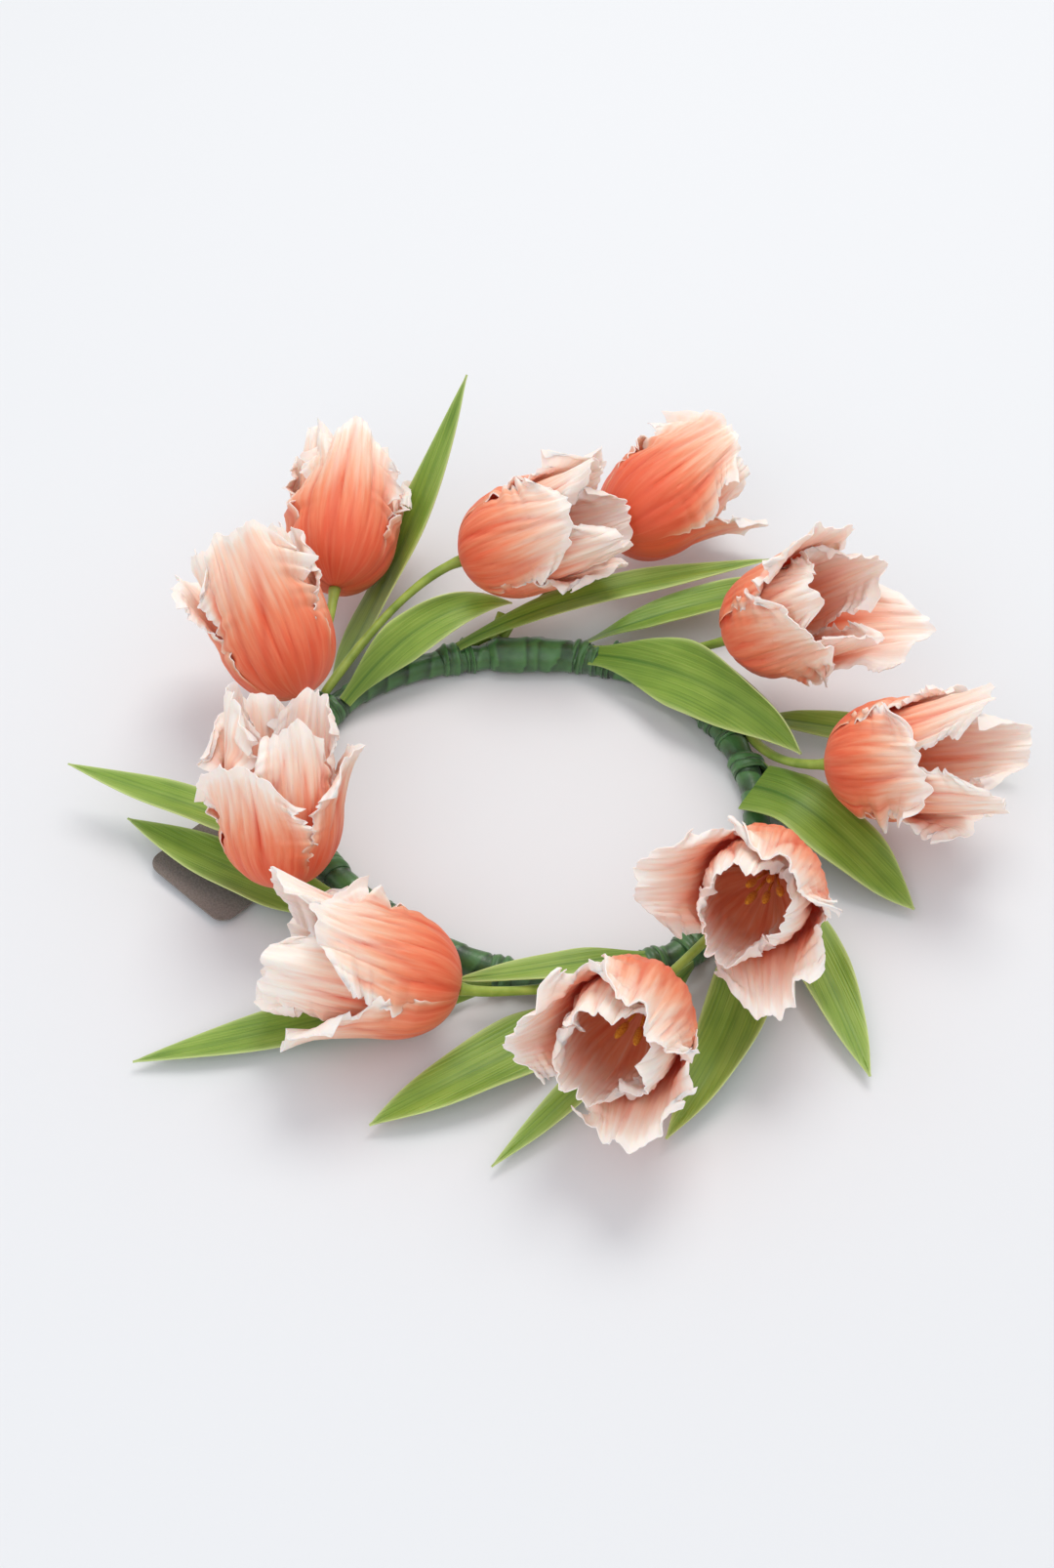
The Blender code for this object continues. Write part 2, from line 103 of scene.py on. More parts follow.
# %% [markdown]
# ## The camera and the light
# The crown lies on a pale table and is looked down on at fifty degrees, through a normal lens. A
# wide window behind it gives soft light from the back, so shadows fall softly towards the viewer.
# A large area light stands for the window, a weak one in front fills the shadows, and a pale
# world does the rest. The camera aims at the middle of the ring, which is the frame's origin.

# %% Camera, floor and lights
LOOK_DOWN = math.radians(50)
CAMERA_AWAY = 0.894
AIM = Vector((-0.0020, 0.0143, 0.0))

camera = bpy.data.objects.new("camera", bpy.data.cameras.new("camera"))
camera.data.lens = 50
camera.data.sensor_width = 36
camera.data.clip_start = 0.01
camera.location = AIM + Vector((0, -math.cos(LOOK_DOWN), math.sin(LOOK_DOWN))) * CAMERA_AWAY
camera.rotation_euler = (math.pi / 2 - LOOK_DOWN, 0, 0)
put(camera)
bpy.context.scene.camera = camera


def area_light(name, place, size, power, colour):
    lamp = bpy.data.lights.new(name, "AREA")
    lamp.shape = "DISK"
    lamp.size = size
    lamp.energy = power
    lamp.color = linear(colour)[:3]
    held = bpy.data.objects.new(name, lamp)
    held.location = place
    held.rotation_euler = (-Vector(place)).to_track_quat("-Z", "Y").to_euler()
    put(held)


area_light("window", (0.25, 0.9, 1.9), 1.2, 18, "#FFFDF8")
area_light("front_fill", (-0.6, -1.2, 1.3), 1.6, 6, "#F6FAFF")

world = bpy.data.worlds.new("pale_room")
world.use_nodes = True
world.node_tree.nodes["Background"].inputs["Color"].default_value = linear("#F4F6FA")
world.node_tree.nodes["Background"].inputs["Strength"].default_value = 0.80
bpy.context.scene.world = world
bpy.context.scene.view_settings.view_transform = "Standard"

# %% The table
paint = bpy.data.materials.new("matt white painted board")
paint.use_nodes = True
paint_shader = paint.node_tree.nodes["Principled BSDF"]
paint_shader.inputs["Base Color"].default_value = linear("#E2E3E5")
paint_shader.inputs["Roughness"].default_value = 0.75

FLOOR_HALF = 4.0
TABLE_LOWER = -0.0002
floor_mesh = bpy.data.meshes.new("table")
floor_corners = [(-FLOOR_HALF, -FLOOR_HALF, 0), (FLOOR_HALF, -FLOOR_HALF, 0)]
floor_corners += [(FLOOR_HALF, FLOOR_HALF, 0), (-FLOOR_HALF, FLOOR_HALF, 0)]
floor_mesh.from_pydata(floor_corners, [], [(0, 1, 2, 3)])
floor_mesh.materials.append(paint)
table = put(bpy.data.objects.new("table", floor_mesh))
table.location.z = TABLE_LOWER
print("camera at", tuple(round(x, 3) for x in camera.location))

# %% [markdown]
# ## From arrays to meshes
# A petal and a leaf are thin sheets of moulded foam. Each is worked out as a grid of points on
# its middle surface, and one helper gives the grid a thickness and closes its border, so that the
# sheet is a real closed body. Each point keeps where it is on the sheet, as a UV map and as plain
# attributes, and the materials read those to place their veins, their pale rims and the painted
# shade in their folds.

# %% Mesh helpers


def mesh_piece(name, points, faces, finishes, uv=None, finish_of=None, attributes=None):
    """Makes an object at the origin of arrays of points and quads."""
    mesh = bpy.data.meshes.new(name)
    mesh.from_pydata(points.tolist(), [], faces.tolist())
    for finish in finishes:
        mesh.materials.append(finish)
    if finish_of is not None:
        mesh.polygons.foreach_set("material_index", finish_of.astype(np.int32))
    if uv is not None:
        corners = np.empty(len(mesh.loops), np.int32)
        mesh.loops.foreach_get("vertex_index", corners)
        layer = mesh.uv_layers.new(name="along")
        layer.data.foreach_set("uv", uv[corners].astype(np.float32).ravel())
    for label, values in (attributes or {}).items():
        held = mesh.attributes.new(label, "FLOAT", "POINT")
        held.data.foreach_set("value", values.astype(np.float32).ravel())
    mesh.shade_smooth()
    mesh.set_sharp_from_angle(angle=math.radians(50))
    return put(bpy.data.objects.new(name, mesh))


def shell(middle, thickness):
    """A closed thin body about a grid of points: its points, its quads, and the side of each."""
    rows, columns = middle.shape[:2]
    normal = np.cross(np.gradient(middle, axis=0), np.gradient(middle, axis=1))
    normal /= np.maximum(np.linalg.norm(normal, axis=-1, keepdims=True), 1e-12)
    half = normal * thickness[..., None] / 2
    count = rows * columns
    points = np.concatenate([(middle + half).reshape(-1, 3), (middle - half).reshape(-1, 3)])
    near = (np.arange(rows - 1)[:, None] * columns + np.arange(columns - 1)).ravel()
    top = np.stack([near, near + columns, near + columns + 1, near + 1], -1)
    under = top[:, ::-1] + count
    border = np.concatenate(
        [
            np.arange(columns),
            columns * np.arange(1, rows) + columns - 1,
            count - 1 - np.arange(1, columns),
            columns * np.arange(rows - 2, 0, -1),
        ]
    )
    after = np.roll(border, -1)
    rim = np.stack([border, after, after + count, border + count], -1)
    side = np.repeat([0, 1, 0], [len(top), len(under), len(rim)])
    return points, np.concatenate([top, under, rim]), side


def skin(loops, ends="open"):
    """Quads that join a row of equal loops. ends is open, or round: the last meets the first."""
    rows, columns = loops.shape[:2]
    around = np.arange(columns)
    after = (around + 1) % columns
    faces = []
    for row in range(rows if ends == "round" else rows - 1):
        near = row * columns
        far = ((row + 1) % rows) * columns
        faces.append(np.stack([near + around, near + after, far + after, far + around], -1))
    return np.concatenate(faces)


# %% [markdown]
# ## Materials
# The petals and leaves of this kind of crown are real-touch foam: soft moulded polyurethane with
# colour sprayed on. It is matt, lets a little light through, and keeps fine ribs from its mould.
# The tape is crêpe paper soaked in wax, so it has a satin gleam, and each turn carries painted
# shade just under the lap and a painted highlight towards its edge. Every colour is a sprayed
# gradient: coral at the base, nearly white at the rim.

# %% Petal foam


def foam(name, roughness, scatter, radius):
    """A Principled material for sprayed polyurethane foam, with light let in under its skin."""
    made = bpy.data.materials.new(name)
    made.use_nodes = True
    shader = made.node_tree.nodes["Principled BSDF"]
    shader.inputs["Roughness"].default_value = roughness
    shader.inputs["IOR"].default_value = 1.45
    shader.inputs["Subsurface Weight"].default_value = scatter
    shader.inputs["Subsurface Radius"].default_value = radius
    shader.inputs["Subsurface Scale"].default_value = 0.003
    shader.inputs["Sheen Weight"].default_value = 0.08
    return made, made.node_tree, shader


PETAL_RIB_MM = 0.9  # the mould's fine ribs are half that apart, and are drawn coarser to show


def petal_foam(name, stops, crease_shade):
    """Sprayed petal: stops runs from the base's colour to the rim's, and the last colour is painted
    shade in the folds.
    """
    made, tree, shader = foam(name, 0.55, 0.45, (1.0, 0.5, 0.35))
    pale = add(tree, "ShaderNodeAttribute", attribute_name="pale").outputs["Fac"]
    fold = add(tree, "ShaderNodeAttribute", attribute_name="fold").outputs["Fac"]
    place = add(tree, "ShaderNodeUVMap", uv_map="along").outputs["UV"]
    # Streaks run lengthwise: many times finer across the petal than along it.
    stretched = add(tree, "ShaderNodeMapping", {"Vector": place, "Scale": (14, 1.6, 1)})
    streaks = add(
        tree, "ShaderNodeTexNoise", {"Vector": stretched.outputs[0], "Scale": 1.6, "Detail": 4}
    )
    shifted = add(
        tree,
        "ShaderNodeMath",
        {0: streaks.outputs["Fac"], 1: 0.7, 2: -0.35},
        operation="MULTIPLY_ADD",
    )
    level = add(
        tree, "ShaderNodeMath", {0: pale, 1: shifted.outputs[0]}, operation="ADD", use_clamp=True
    )
    ramp = add(tree, "ShaderNodeValToRGB", {"Fac": level.outputs[0]})
    steps = ramp.color_ramp
    steps.elements[0].color = linear(stops[0][1])
    steps.elements[0].position = stops[0][0]
    steps.elements[1].color = linear(stops[-1][1])
    steps.elements[1].position = stops[-1][0]
    for position, code in stops[1:-1]:
        steps.elements.new(position).color = linear(code)
    # Painted shade: the colour is deepened in the creases between the petal's swellings.
    crease_shaded = add(
        tree,
        "ShaderNodeMix",
        {"Factor": fold, 6: ramp.outputs["Color"], 7: linear(crease_shade)},
        data_type="RGBA",
    )
    tree.links.new(crease_shaded.outputs[2], shader.inputs["Base Color"])
    ribs_place = add(
        tree, "ShaderNodeMapping", {"Vector": place, "Scale": (44 / PETAL_RIB_MM, 3, 1)}
    )
    ribs = add(
        tree, "ShaderNodeTexNoise", {"Vector": ribs_place.outputs[0], "Scale": 1.0, "Detail": 3}
    )
    bump = add(
        tree,
        "ShaderNodeBump",
        {"Height": ribs.outputs["Fac"], "Strength": 0.35, "Distance": 0.0006},
    )
    tree.links.new(bump.outputs[0], shader.inputs["Normal"])
    return made


# The last colour of each is painted shade in the creases.
PETAL_OUT = petal_foam(
    "sprayed foam petal, outside",
    ((0.0, "#F0653F"), (0.22, "#F8875F"), (0.5, "#FDB292"), (0.78, "#FFD6C2"), (1.0, "#FFEDE2")),
    "#E04E2A",
)
# The inside's colours are set lighter than the outside's, as painted light against the shade inside
# the cup.
PETAL_IN = petal_foam(
    "sprayed foam petal, inside",
    ((0.0, "#EE7E50"), (0.25, "#F79E78"), (0.5, "#FDC3A9"), (0.76, "#FFDDCF"), (1.0, "#FFEFE6")),
    "#DC6E48",
)

# %% Leaf, stem and stamen foam


def leaf_foam(name, dark, middle, light, edge):
    """Sprayed leaf: parallel veins along it, paler rims, and painted shade in its fold."""
    made, tree, shader = foam(name, 0.42, 0.10, (0.35, 0.8, 0.15))
    place = add(tree, "ShaderNodeUVMap", uv_map="along").outputs["UV"]
    # The veins lie about a millimetre apart across the leaf, and run its whole length.
    lines = add(tree, "ShaderNodeMapping", {"Vector": place, "Scale": (26, 0.45, 1)})
    veins = add(tree, "ShaderNodeTexNoise", {"Vector": lines.outputs[0], "Scale": 1.0, "Detail": 2})
    cloud = add(tree, "ShaderNodeTexNoise", {"Vector": place, "Scale": 1.3, "Detail": 2})
    mixed = add(
        tree, "ShaderNodeMath", {0: veins.outputs["Fac"], 1: cloud.outputs["Fac"]}, operation="ADD"
    )
    halved = add(tree, "ShaderNodeMath", {0: mixed.outputs[0], 1: 0.5}, operation="MULTIPLY")
    ramp = add(tree, "ShaderNodeValToRGB", {"Fac": halved.outputs[0]})
    ramp.color_ramp.elements[0].color = linear(dark)
    ramp.color_ramp.elements[1].color = linear(light)
    ramp.color_ramp.elements[0].position = 0.24
    ramp.color_ramp.elements[1].position = 0.76
    ramp.color_ramp.elements.new(0.5).color = linear(middle)
    rim = add(tree, "ShaderNodeAttribute", attribute_name="pale").outputs["Fac"]
    crease_shade = add(tree, "ShaderNodeAttribute", attribute_name="fold").outputs["Fac"]
    # Painted shade: the darkest green is laid along the fold and near the foot.
    fold_shaded = add(
        tree,
        "ShaderNodeMix",
        {"Factor": crease_shade, 6: ramp.outputs["Color"], 7: linear(dark)},
        data_type="RGBA",
    )
    rimmed = add(
        tree,
        "ShaderNodeMix",
        {"Factor": rim, 6: fold_shaded.outputs[2], 7: linear(edge)},
        data_type="RGBA",
    )
    tree.links.new(rimmed.outputs[2], shader.inputs["Base Color"])
    bump = add(
        tree,
        "ShaderNodeBump",
        {"Height": veins.outputs["Fac"], "Strength": 0.5, "Distance": 0.0008},
    )
    tree.links.new(bump.outputs[0], shader.inputs["Normal"])
    return made


LEAF_TOP = leaf_foam("sprayed foam leaf, upper side", "#44701A", "#7F9F34", "#A6BE58", "#D2E096")
LEAF_UNDER = leaf_foam("sprayed foam leaf, under side", "#3A6418", "#648C2E", "#8AAE4E", "#BFD386")


def plain_foam(name, dark, light, roughness, grain_mm):
    """A coating with soft mottling, for stems and stamens."""
    made, tree, shader = foam(name, roughness, 0.08, (0.6, 0.5, 0.2))
    place = add(tree, "ShaderNodeTexCoord").outputs["Object"]
    mottle = add(
        tree, "ShaderNodeTexNoise", {"Vector": place, "Scale": 1000 / grain_mm, "Detail": 3}
    )
    ramp = add(tree, "ShaderNodeValToRGB", {"Fac": mottle.outputs["Fac"]})
    ramp.color_ramp.elements[0].position = 0.32
    ramp.color_ramp.elements[0].color = linear(dark)
    ramp.color_ramp.elements[1].position = 0.68
    ramp.color_ramp.elements[1].color = linear(light)
    tree.links.new(ramp.outputs["Color"], shader.inputs["Base Color"])
    bump = add(
        tree,
        "ShaderNodeBump",
        {"Height": mottle.outputs["Fac"], "Strength": 0.4, "Distance": 0.0004},
    )
    tree.links.new(bump.outputs[0], shader.inputs["Normal"])
    return made


# Smooth plastic with a soft shine, flocked pods that stay matt and powdery.
STEM_COAT = plain_foam("green plastic coat on wire", "#7C9A34", "#A9BF55", 0.4, 9)
POLLEN = plain_foam("flocked anther", "#D07A12", "#F2B43C", 0.85, 0.8)

# %% Waxed paper tape, card, cotton and steel
TAPE_CRINKLE_MM = 0.9


def waxed_tape():
    """Crêpe paper tape: fine crinkles, painted shade just under each lap and a painted highlight
    towards its edge, and a wax gleam.
    """
    made = bpy.data.materials.new("waxed crepe floral tape")
    made.use_nodes = True
    tree = made.node_tree
    shader = tree.nodes["Principled BSDF"]
    shader.inputs["Roughness"].default_value = 0.38
    shader.inputs["Coat Weight"].default_value = 0.25
    shader.inputs["Coat Roughness"].default_value = 0.35
    shader.inputs["Sheen Weight"].default_value = 0.15
    place = add(tree, "ShaderNodeTexCoord").outputs["Object"]
    lap_rise_and_painted_shade = add(tree, "ShaderNodeAttribute", attribute_name="lap_rise_and_painted_shade").outputs["Fac"]
    crinkle = add(
        tree, "ShaderNodeTexNoise", {"Vector": place, "Scale": 1000 / TAPE_CRINKLE_MM, "Detail": 3}
    )
    cloud = add(tree, "ShaderNodeTexNoise", {"Vector": place, "Scale": 120, "Detail": 2})
    # The lap's rise paints shade just under each lap and a highlight towards its edge, over the
    # tape's own uneven tone.
    lap_shade_and_mottle = add(
        tree,
        "ShaderNodeMath",
        {0: lap_rise_and_painted_shade, 1: 0.55, 2: cloud.outputs["Fac"]},
        operation="MULTIPLY_ADD",
    )
    ramp = add(tree, "ShaderNodeValToRGB", {"Fac": lap_shade_and_mottle.outputs[0]})
    ramp.color_ramp.elements[0].position = 0.35
    ramp.color_ramp.elements[0].color = linear("#142E16")
    ramp.color_ramp.elements[1].position = 1.0
    ramp.color_ramp.elements[1].color = linear("#477A3F")
    tree.links.new(ramp.outputs["Color"], shader.inputs["Base Color"])
    bump = add(
        tree,
        "ShaderNodeBump",
        {"Height": crinkle.outputs["Fac"], "Strength": 0.5, "Distance": 0.0003},
    )
    tree.links.new(bump.outputs[0], shader.inputs["Normal"])
    return made


TAPE = waxed_tape()
# Card and cotton are dull and a little uneven in tone. The wire is bright, but the tape hides it.
CARD = plain_foam("uncoated taupe card", "#6F655F", "#877C76", 0.85, 0.7)
COTTON = plain_foam("twisted cotton thread", "#8A8178", "#B5ABA0", 0.9, 0.5)
STEEL = bpy.data.materials.new("drawn florist's wire")
STEEL.use_nodes = True
steel_tree = STEEL.node_tree
steel_place = add(steel_tree, "ShaderNodeTexCoord").outputs["Object"]
steel_noise = add(
    steel_tree, "ShaderNodeTexNoise", {"Vector": steel_place, "Scale": 900, "Detail": 2}
)
steel_ramp = add(steel_tree, "ShaderNodeValToRGB", {"Fac": steel_noise.outputs["Fac"]})
steel_ramp.color_ramp.elements[0].color = linear("#8F9094")
steel_ramp.color_ramp.elements[1].color = linear("#B9BABD")
steel_shader = steel_tree.nodes["Principled BSDF"]
steel_tree.links.new(steel_ramp.outputs["Color"], steel_shader.inputs["Base Color"])
steel_shader.inputs["Metallic"].default_value = 1.0
steel_shader.inputs["Roughness"].default_value = 0.35
frame["nodes"]["ring_wire"].data.materials.clear()
frame["nodes"]["ring_wire"].data.materials.append(STEEL)
print("materials", len(bpy.data.materials))

# %% [markdown]
# ## The ring and the planting plan
# The ring is an oval, bent by hand a little out of true. Each leaf and each stem has a foot on it,
# and the plan says where that foot is, which way the piece sets off, and how far it goes. It is the
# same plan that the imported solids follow, so each fine piece lies in the space of its solid.

# %% Places on the ring
RING_HALF_LONG = 0.0955
RING_HALF_SHORT = 0.0820
RING_TURN = -24
RING_LOBE = 0.037
RING_LOBE_TURN = 45
TAPE_RADIUS = 0.0054
TAPE_SIDES = 10
RING_HEIGHT = TAPE_RADIUS * math.cos(math.pi / TAPE_SIDES)
GAP = 0.0003
STEM_RADIUS = 0.0021
LEAF_THICKNESS = 0.0010


def ring_radius(angle):
    turned = np.radians(angle - RING_TURN)
    across = np.hypot(RING_HALF_SHORT * np.cos(turned), RING_HALF_LONG * np.sin(turned))
    oval = RING_HALF_LONG * RING_HALF_SHORT / across
    return oval * (1 + RING_LOBE * np.cos(np.radians(3 * (angle - RING_LOBE_TURN))))


def outward(angle):
    return np.array((math.cos(math.radians(angle)), math.sin(math.radians(angle)), 0.0))


def clockwise(angle):
    return np.array((math.sin(math.radians(angle)), -math.cos(math.radians(angle)), 0.0))


def heading(angle, veer):
    """A level direction that veers outwards from the clockwise one."""
    turn = math.radians(veer)
    return clockwise(angle) * math.cos(turn) + outward(angle) * math.sin(turn)


def seat_point(angle, seat, thickness):
    """The middle of a piece that sits on the tape, at a place round the tape's own section."""
    clear = TAPE_RADIUS + GAP + thickness / 2
    out = ring_radius(angle) + clear * math.cos(math.radians(seat))
    return outward(angle) * out + UP * (RING_HEIGHT + clear * math.sin(math.radians(seat)))


_, tape_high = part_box("ring_tape")
rim = np.array([outward(a) * (ring_radius(a) + TAPE_RADIUS) for a in range(104, 437)])
off = (rim.max(0) - np.array(tape_high))[:2]
print("ring formula against the solid, mm:", np.round(off * 1000, 2))

# %% The plan
# curl is how far one edge rolls up over the blade, in millimetres.
Leaf = namedtuple(
    "Leaf", "foot seat veer reach bend heights width fold rolls foot_share curl", defaults=(1.5,)
)
LEAVES = {
    "leaf_01": Leaf(114, 90, 1, 148, -12, (11, 20, 20, 19), 15, 15, (0, 0), 0.3),
    "leaf_02": Leaf(76, 50, 40, 128, -20, (9, 13, 14, 15), 18, 30, (0, 0), 0.3),
    "leaf_03": Leaf(72, 110, -4, 108, -34, (11, 20, 24, 24), 30, 10, (38, 10), 0.3, 9),
    "leaf_04": Leaf(30, 10, 50, 122, -10, (7, 8, 9, 10), 16, 20, (0, 0), 0.3),
    "leaf_05": Leaf(12, 10, 32, 76, -10, (6, 8, 7, 5), 20, 25, (0, 0), 0.3),
    "leaf_06": Leaf(2, 95, 52, 82, -16, (13, 16, 10, 5), 28, 12, (0, 0), 0.9),
    "leaf_07": Leaf(-18, 0, 38, 104, -6, (5, 5, 6, 5), 22, 20, (0, 0), 0.3),
    "leaf_08": Leaf(-26, 10, 22, 122, -32, (5, 6, 8, 6), 26, 30, (0, 0), 0.3),
    "leaf_09": Leaf(-50, 0, 14, 120, -10, (5, 6, 5, 4), 15, 20, (0, 0), 0.3),
    "leaf_10": Leaf(-60, 95, -8, 78, -20, (11, 19, 20, 18), 12, 20, (0, 0), 0.3),
    "leaf_11": Leaf(-71, 0, 20, 108, -12, (5, 6, 8, 5), 26, 15, (0, 0), 0.3),
    "leaf_12": Leaf(-98, 10, 22, 139, 0, (6, 6, 5, 4), 20, 15, (0, 0), 0.3),
    "leaf_13": Leaf(-135, 20, 24, 112, -10, (7, 7, 8, 10), 24, 20, (0, 0), 0.3),
    "leaf_14": Leaf(-157, 80, 46, 113, 0, (11, 18, 20, 22), 17, 20, (0, 0), 0.3),
    "leaf_15": Leaf(147, 130, -6, 84, -38, (10, 21, 28, 24), 20, 15, (30, 10), 0.3, 5),
    "leaf_16": Leaf(150, 5, 8, 142, -8, (6, 11, 34, 78), 24, 12, (-40, -10), 0.3),
}
# open flares the outer whorl and core the inner one. blush lightens a whole bloom. lengths are
# shares of the head's length, and flares bend single petals outwards, in radians at the tip: three
# outer petals, then three inner ones, from the first petal round the bloom's axis.
Tulip = namedtuple(
    "Tulip", "foot seat veer reach height turn pitch open core spin blush lengths flares"
)
TULIPS = {
    "tulip_01": Tulip(
        *(150, 60, -15, 83, 35, -60, 24, 0.25, 0.15, 70, 0.06),
        (0.84, 0.95, 0.98, 1.0, 1.0, 1.0),
        (0.06, 0.10, 0.15, 0.10, 0.12, 0.22),
    ),
    "tulip_02": Tulip(
        *(108, 0, 15, 75, 31, 22, 7, 0.05, 0.0, 40, -0.08),
        (1.0, 0.96, 0.96, 0.92, 0.92, 0.92),
        (0.0, 0.42, 0.05, 0.0, 0.05, 0.0),
    ),
    "tulip_03": Tulip(
        *(66, 20, 8, 50, 30, -1, 45, 0.6, 0.3, 0, 0.0),
        (0.98, 0.84, 1.04, 0.82, 0.90, 0.92),
        (0.05, 0.0, 0.55, 0.0, 0.15, 0.1),
    ),
    "tulip_04": Tulip(
        *(22, 10, 15, 46, 30, 50, 24, 0.55, 0.35, 80, 0.0),
        (0.70, 0.86, 0.84, 1.0, 1.02, 1.0),
        (0.0, 0.10, 0.10, 0.18, 0.15, 0.30),
    ),
    "tulip_05": Tulip(
        *(-12, 40, 6, 34, 30, -8, 36, 0.45, 0.12, 0, 0.04),
        (0.94, 0.90, 0.92, 0.84, 0.80, 0.82),
        (-0.05, 0.48, 0.42, 0.0, 0.16, 0.0),
    ),
    "tulip_06": Tulip(
        *(-34, 50, -2, 66, 25, 13, 32, 0.50, 0.15, 0, 0.05),
        (0.92, 0.98, 0.96, 0.84, 0.80, 0.82),
        (-0.10, 0.26, 0.20, 0.0, 0.12, 0.0),
    ),
    "tulip_07": Tulip(
        *(-78, 40, 2, 48, 25, -14, 17, 0.6, 0.5, 30, 0.08),
        (0.86, 0.92, 0.88, 1.0, 0.98, 1.0),
        (0.08, 0.10, 0.20, 0.20, 0.10, 0.0),
    ),
    "tulip_08": Tulip(
        *(-122, 60, 17, 52, 25, -56, 52, 0.65, 0.5, 0, 0.02),
        (0.70, 0.80, 1.0, 0.86, 1.0, 1.04),
        (0.04, 0.16, 0.0, 0.0, 0.25, 0.0),
    ),
    "tulip_09": Tulip(
        *(180, 40, -12, 36, 30, 28, 38, 0.6, 0.4, 15, 0.0),
        (1.02, 0.95, 0.96, 0.92, 0.92, 0.94),
        (0.02, 0.04, 0.20, 0.05, 0.05, 0.05),
    ),
    "tulip_10": Tulip(
        *(162, 50, 5, 67, 30, 13, 15, 0.25, 0.2, 35, 0.0),
        (1.0, 0.88, 0.95, 0.90, 0.92, 1.0),
        (0.0, 0.08, 0.05, 0.04, 0.05, 0.16),
    ),
}
feet = {j["child"]: Vector(j["pos_m"]) for j in frame["joints"]}
worst = max(
    (Vector(seat_point(plan.foot, plan.seat, 2 * STEM_RADIUS)) - feet[name]).length
    for name, plan in TULIPS.items()
)
print("stem feet against the joints, mm:", round(worst * 1000, 3))

# %% [markdown]
# ## The wound tape
# The tape is one long strip, wound round the wire so that each turn covers half of the last. Its
# edge shows as a low spiral step. Drawing the spiral by hand would be slow, and a bump map would
# leave the outline smooth, so Geometry Nodes wind it: a grid is wrapped round the ring's centre
# line and sheared by one turn, so that its rows run along the tape's own edge, and each row's
# height is a saw tooth. The grid's ends meet, because the ring holds a whole number of turns.

# %% A node group that winds tape round a closed path
TAPE_PITCH = 0.0104
TAPE_STEP = 0.00055
TAPE_LUMP = 0.0006
TAPE_ROUND = 28
TAPE_ROWS = 9
TAPE_CORE = 0.0036


def new_tree(name, sockets):
    """An empty geometry node group with one output and the inputs given."""
    tree = bpy.data.node_groups.new(name, "GeometryNodeTree")
    for label, kind, value in sockets:
        made = tree.interface.new_socket(label, in_out="INPUT", socket_type=kind)
        if value is not None:
            made.default_value = value
    tree.interface.new_socket("Geometry", in_out="OUTPUT", socket_type="NodeSocketGeometry")
    return tree, tree.nodes.new("NodeGroupInput").outputs, tree.nodes.new("NodeGroupOutput").inputs


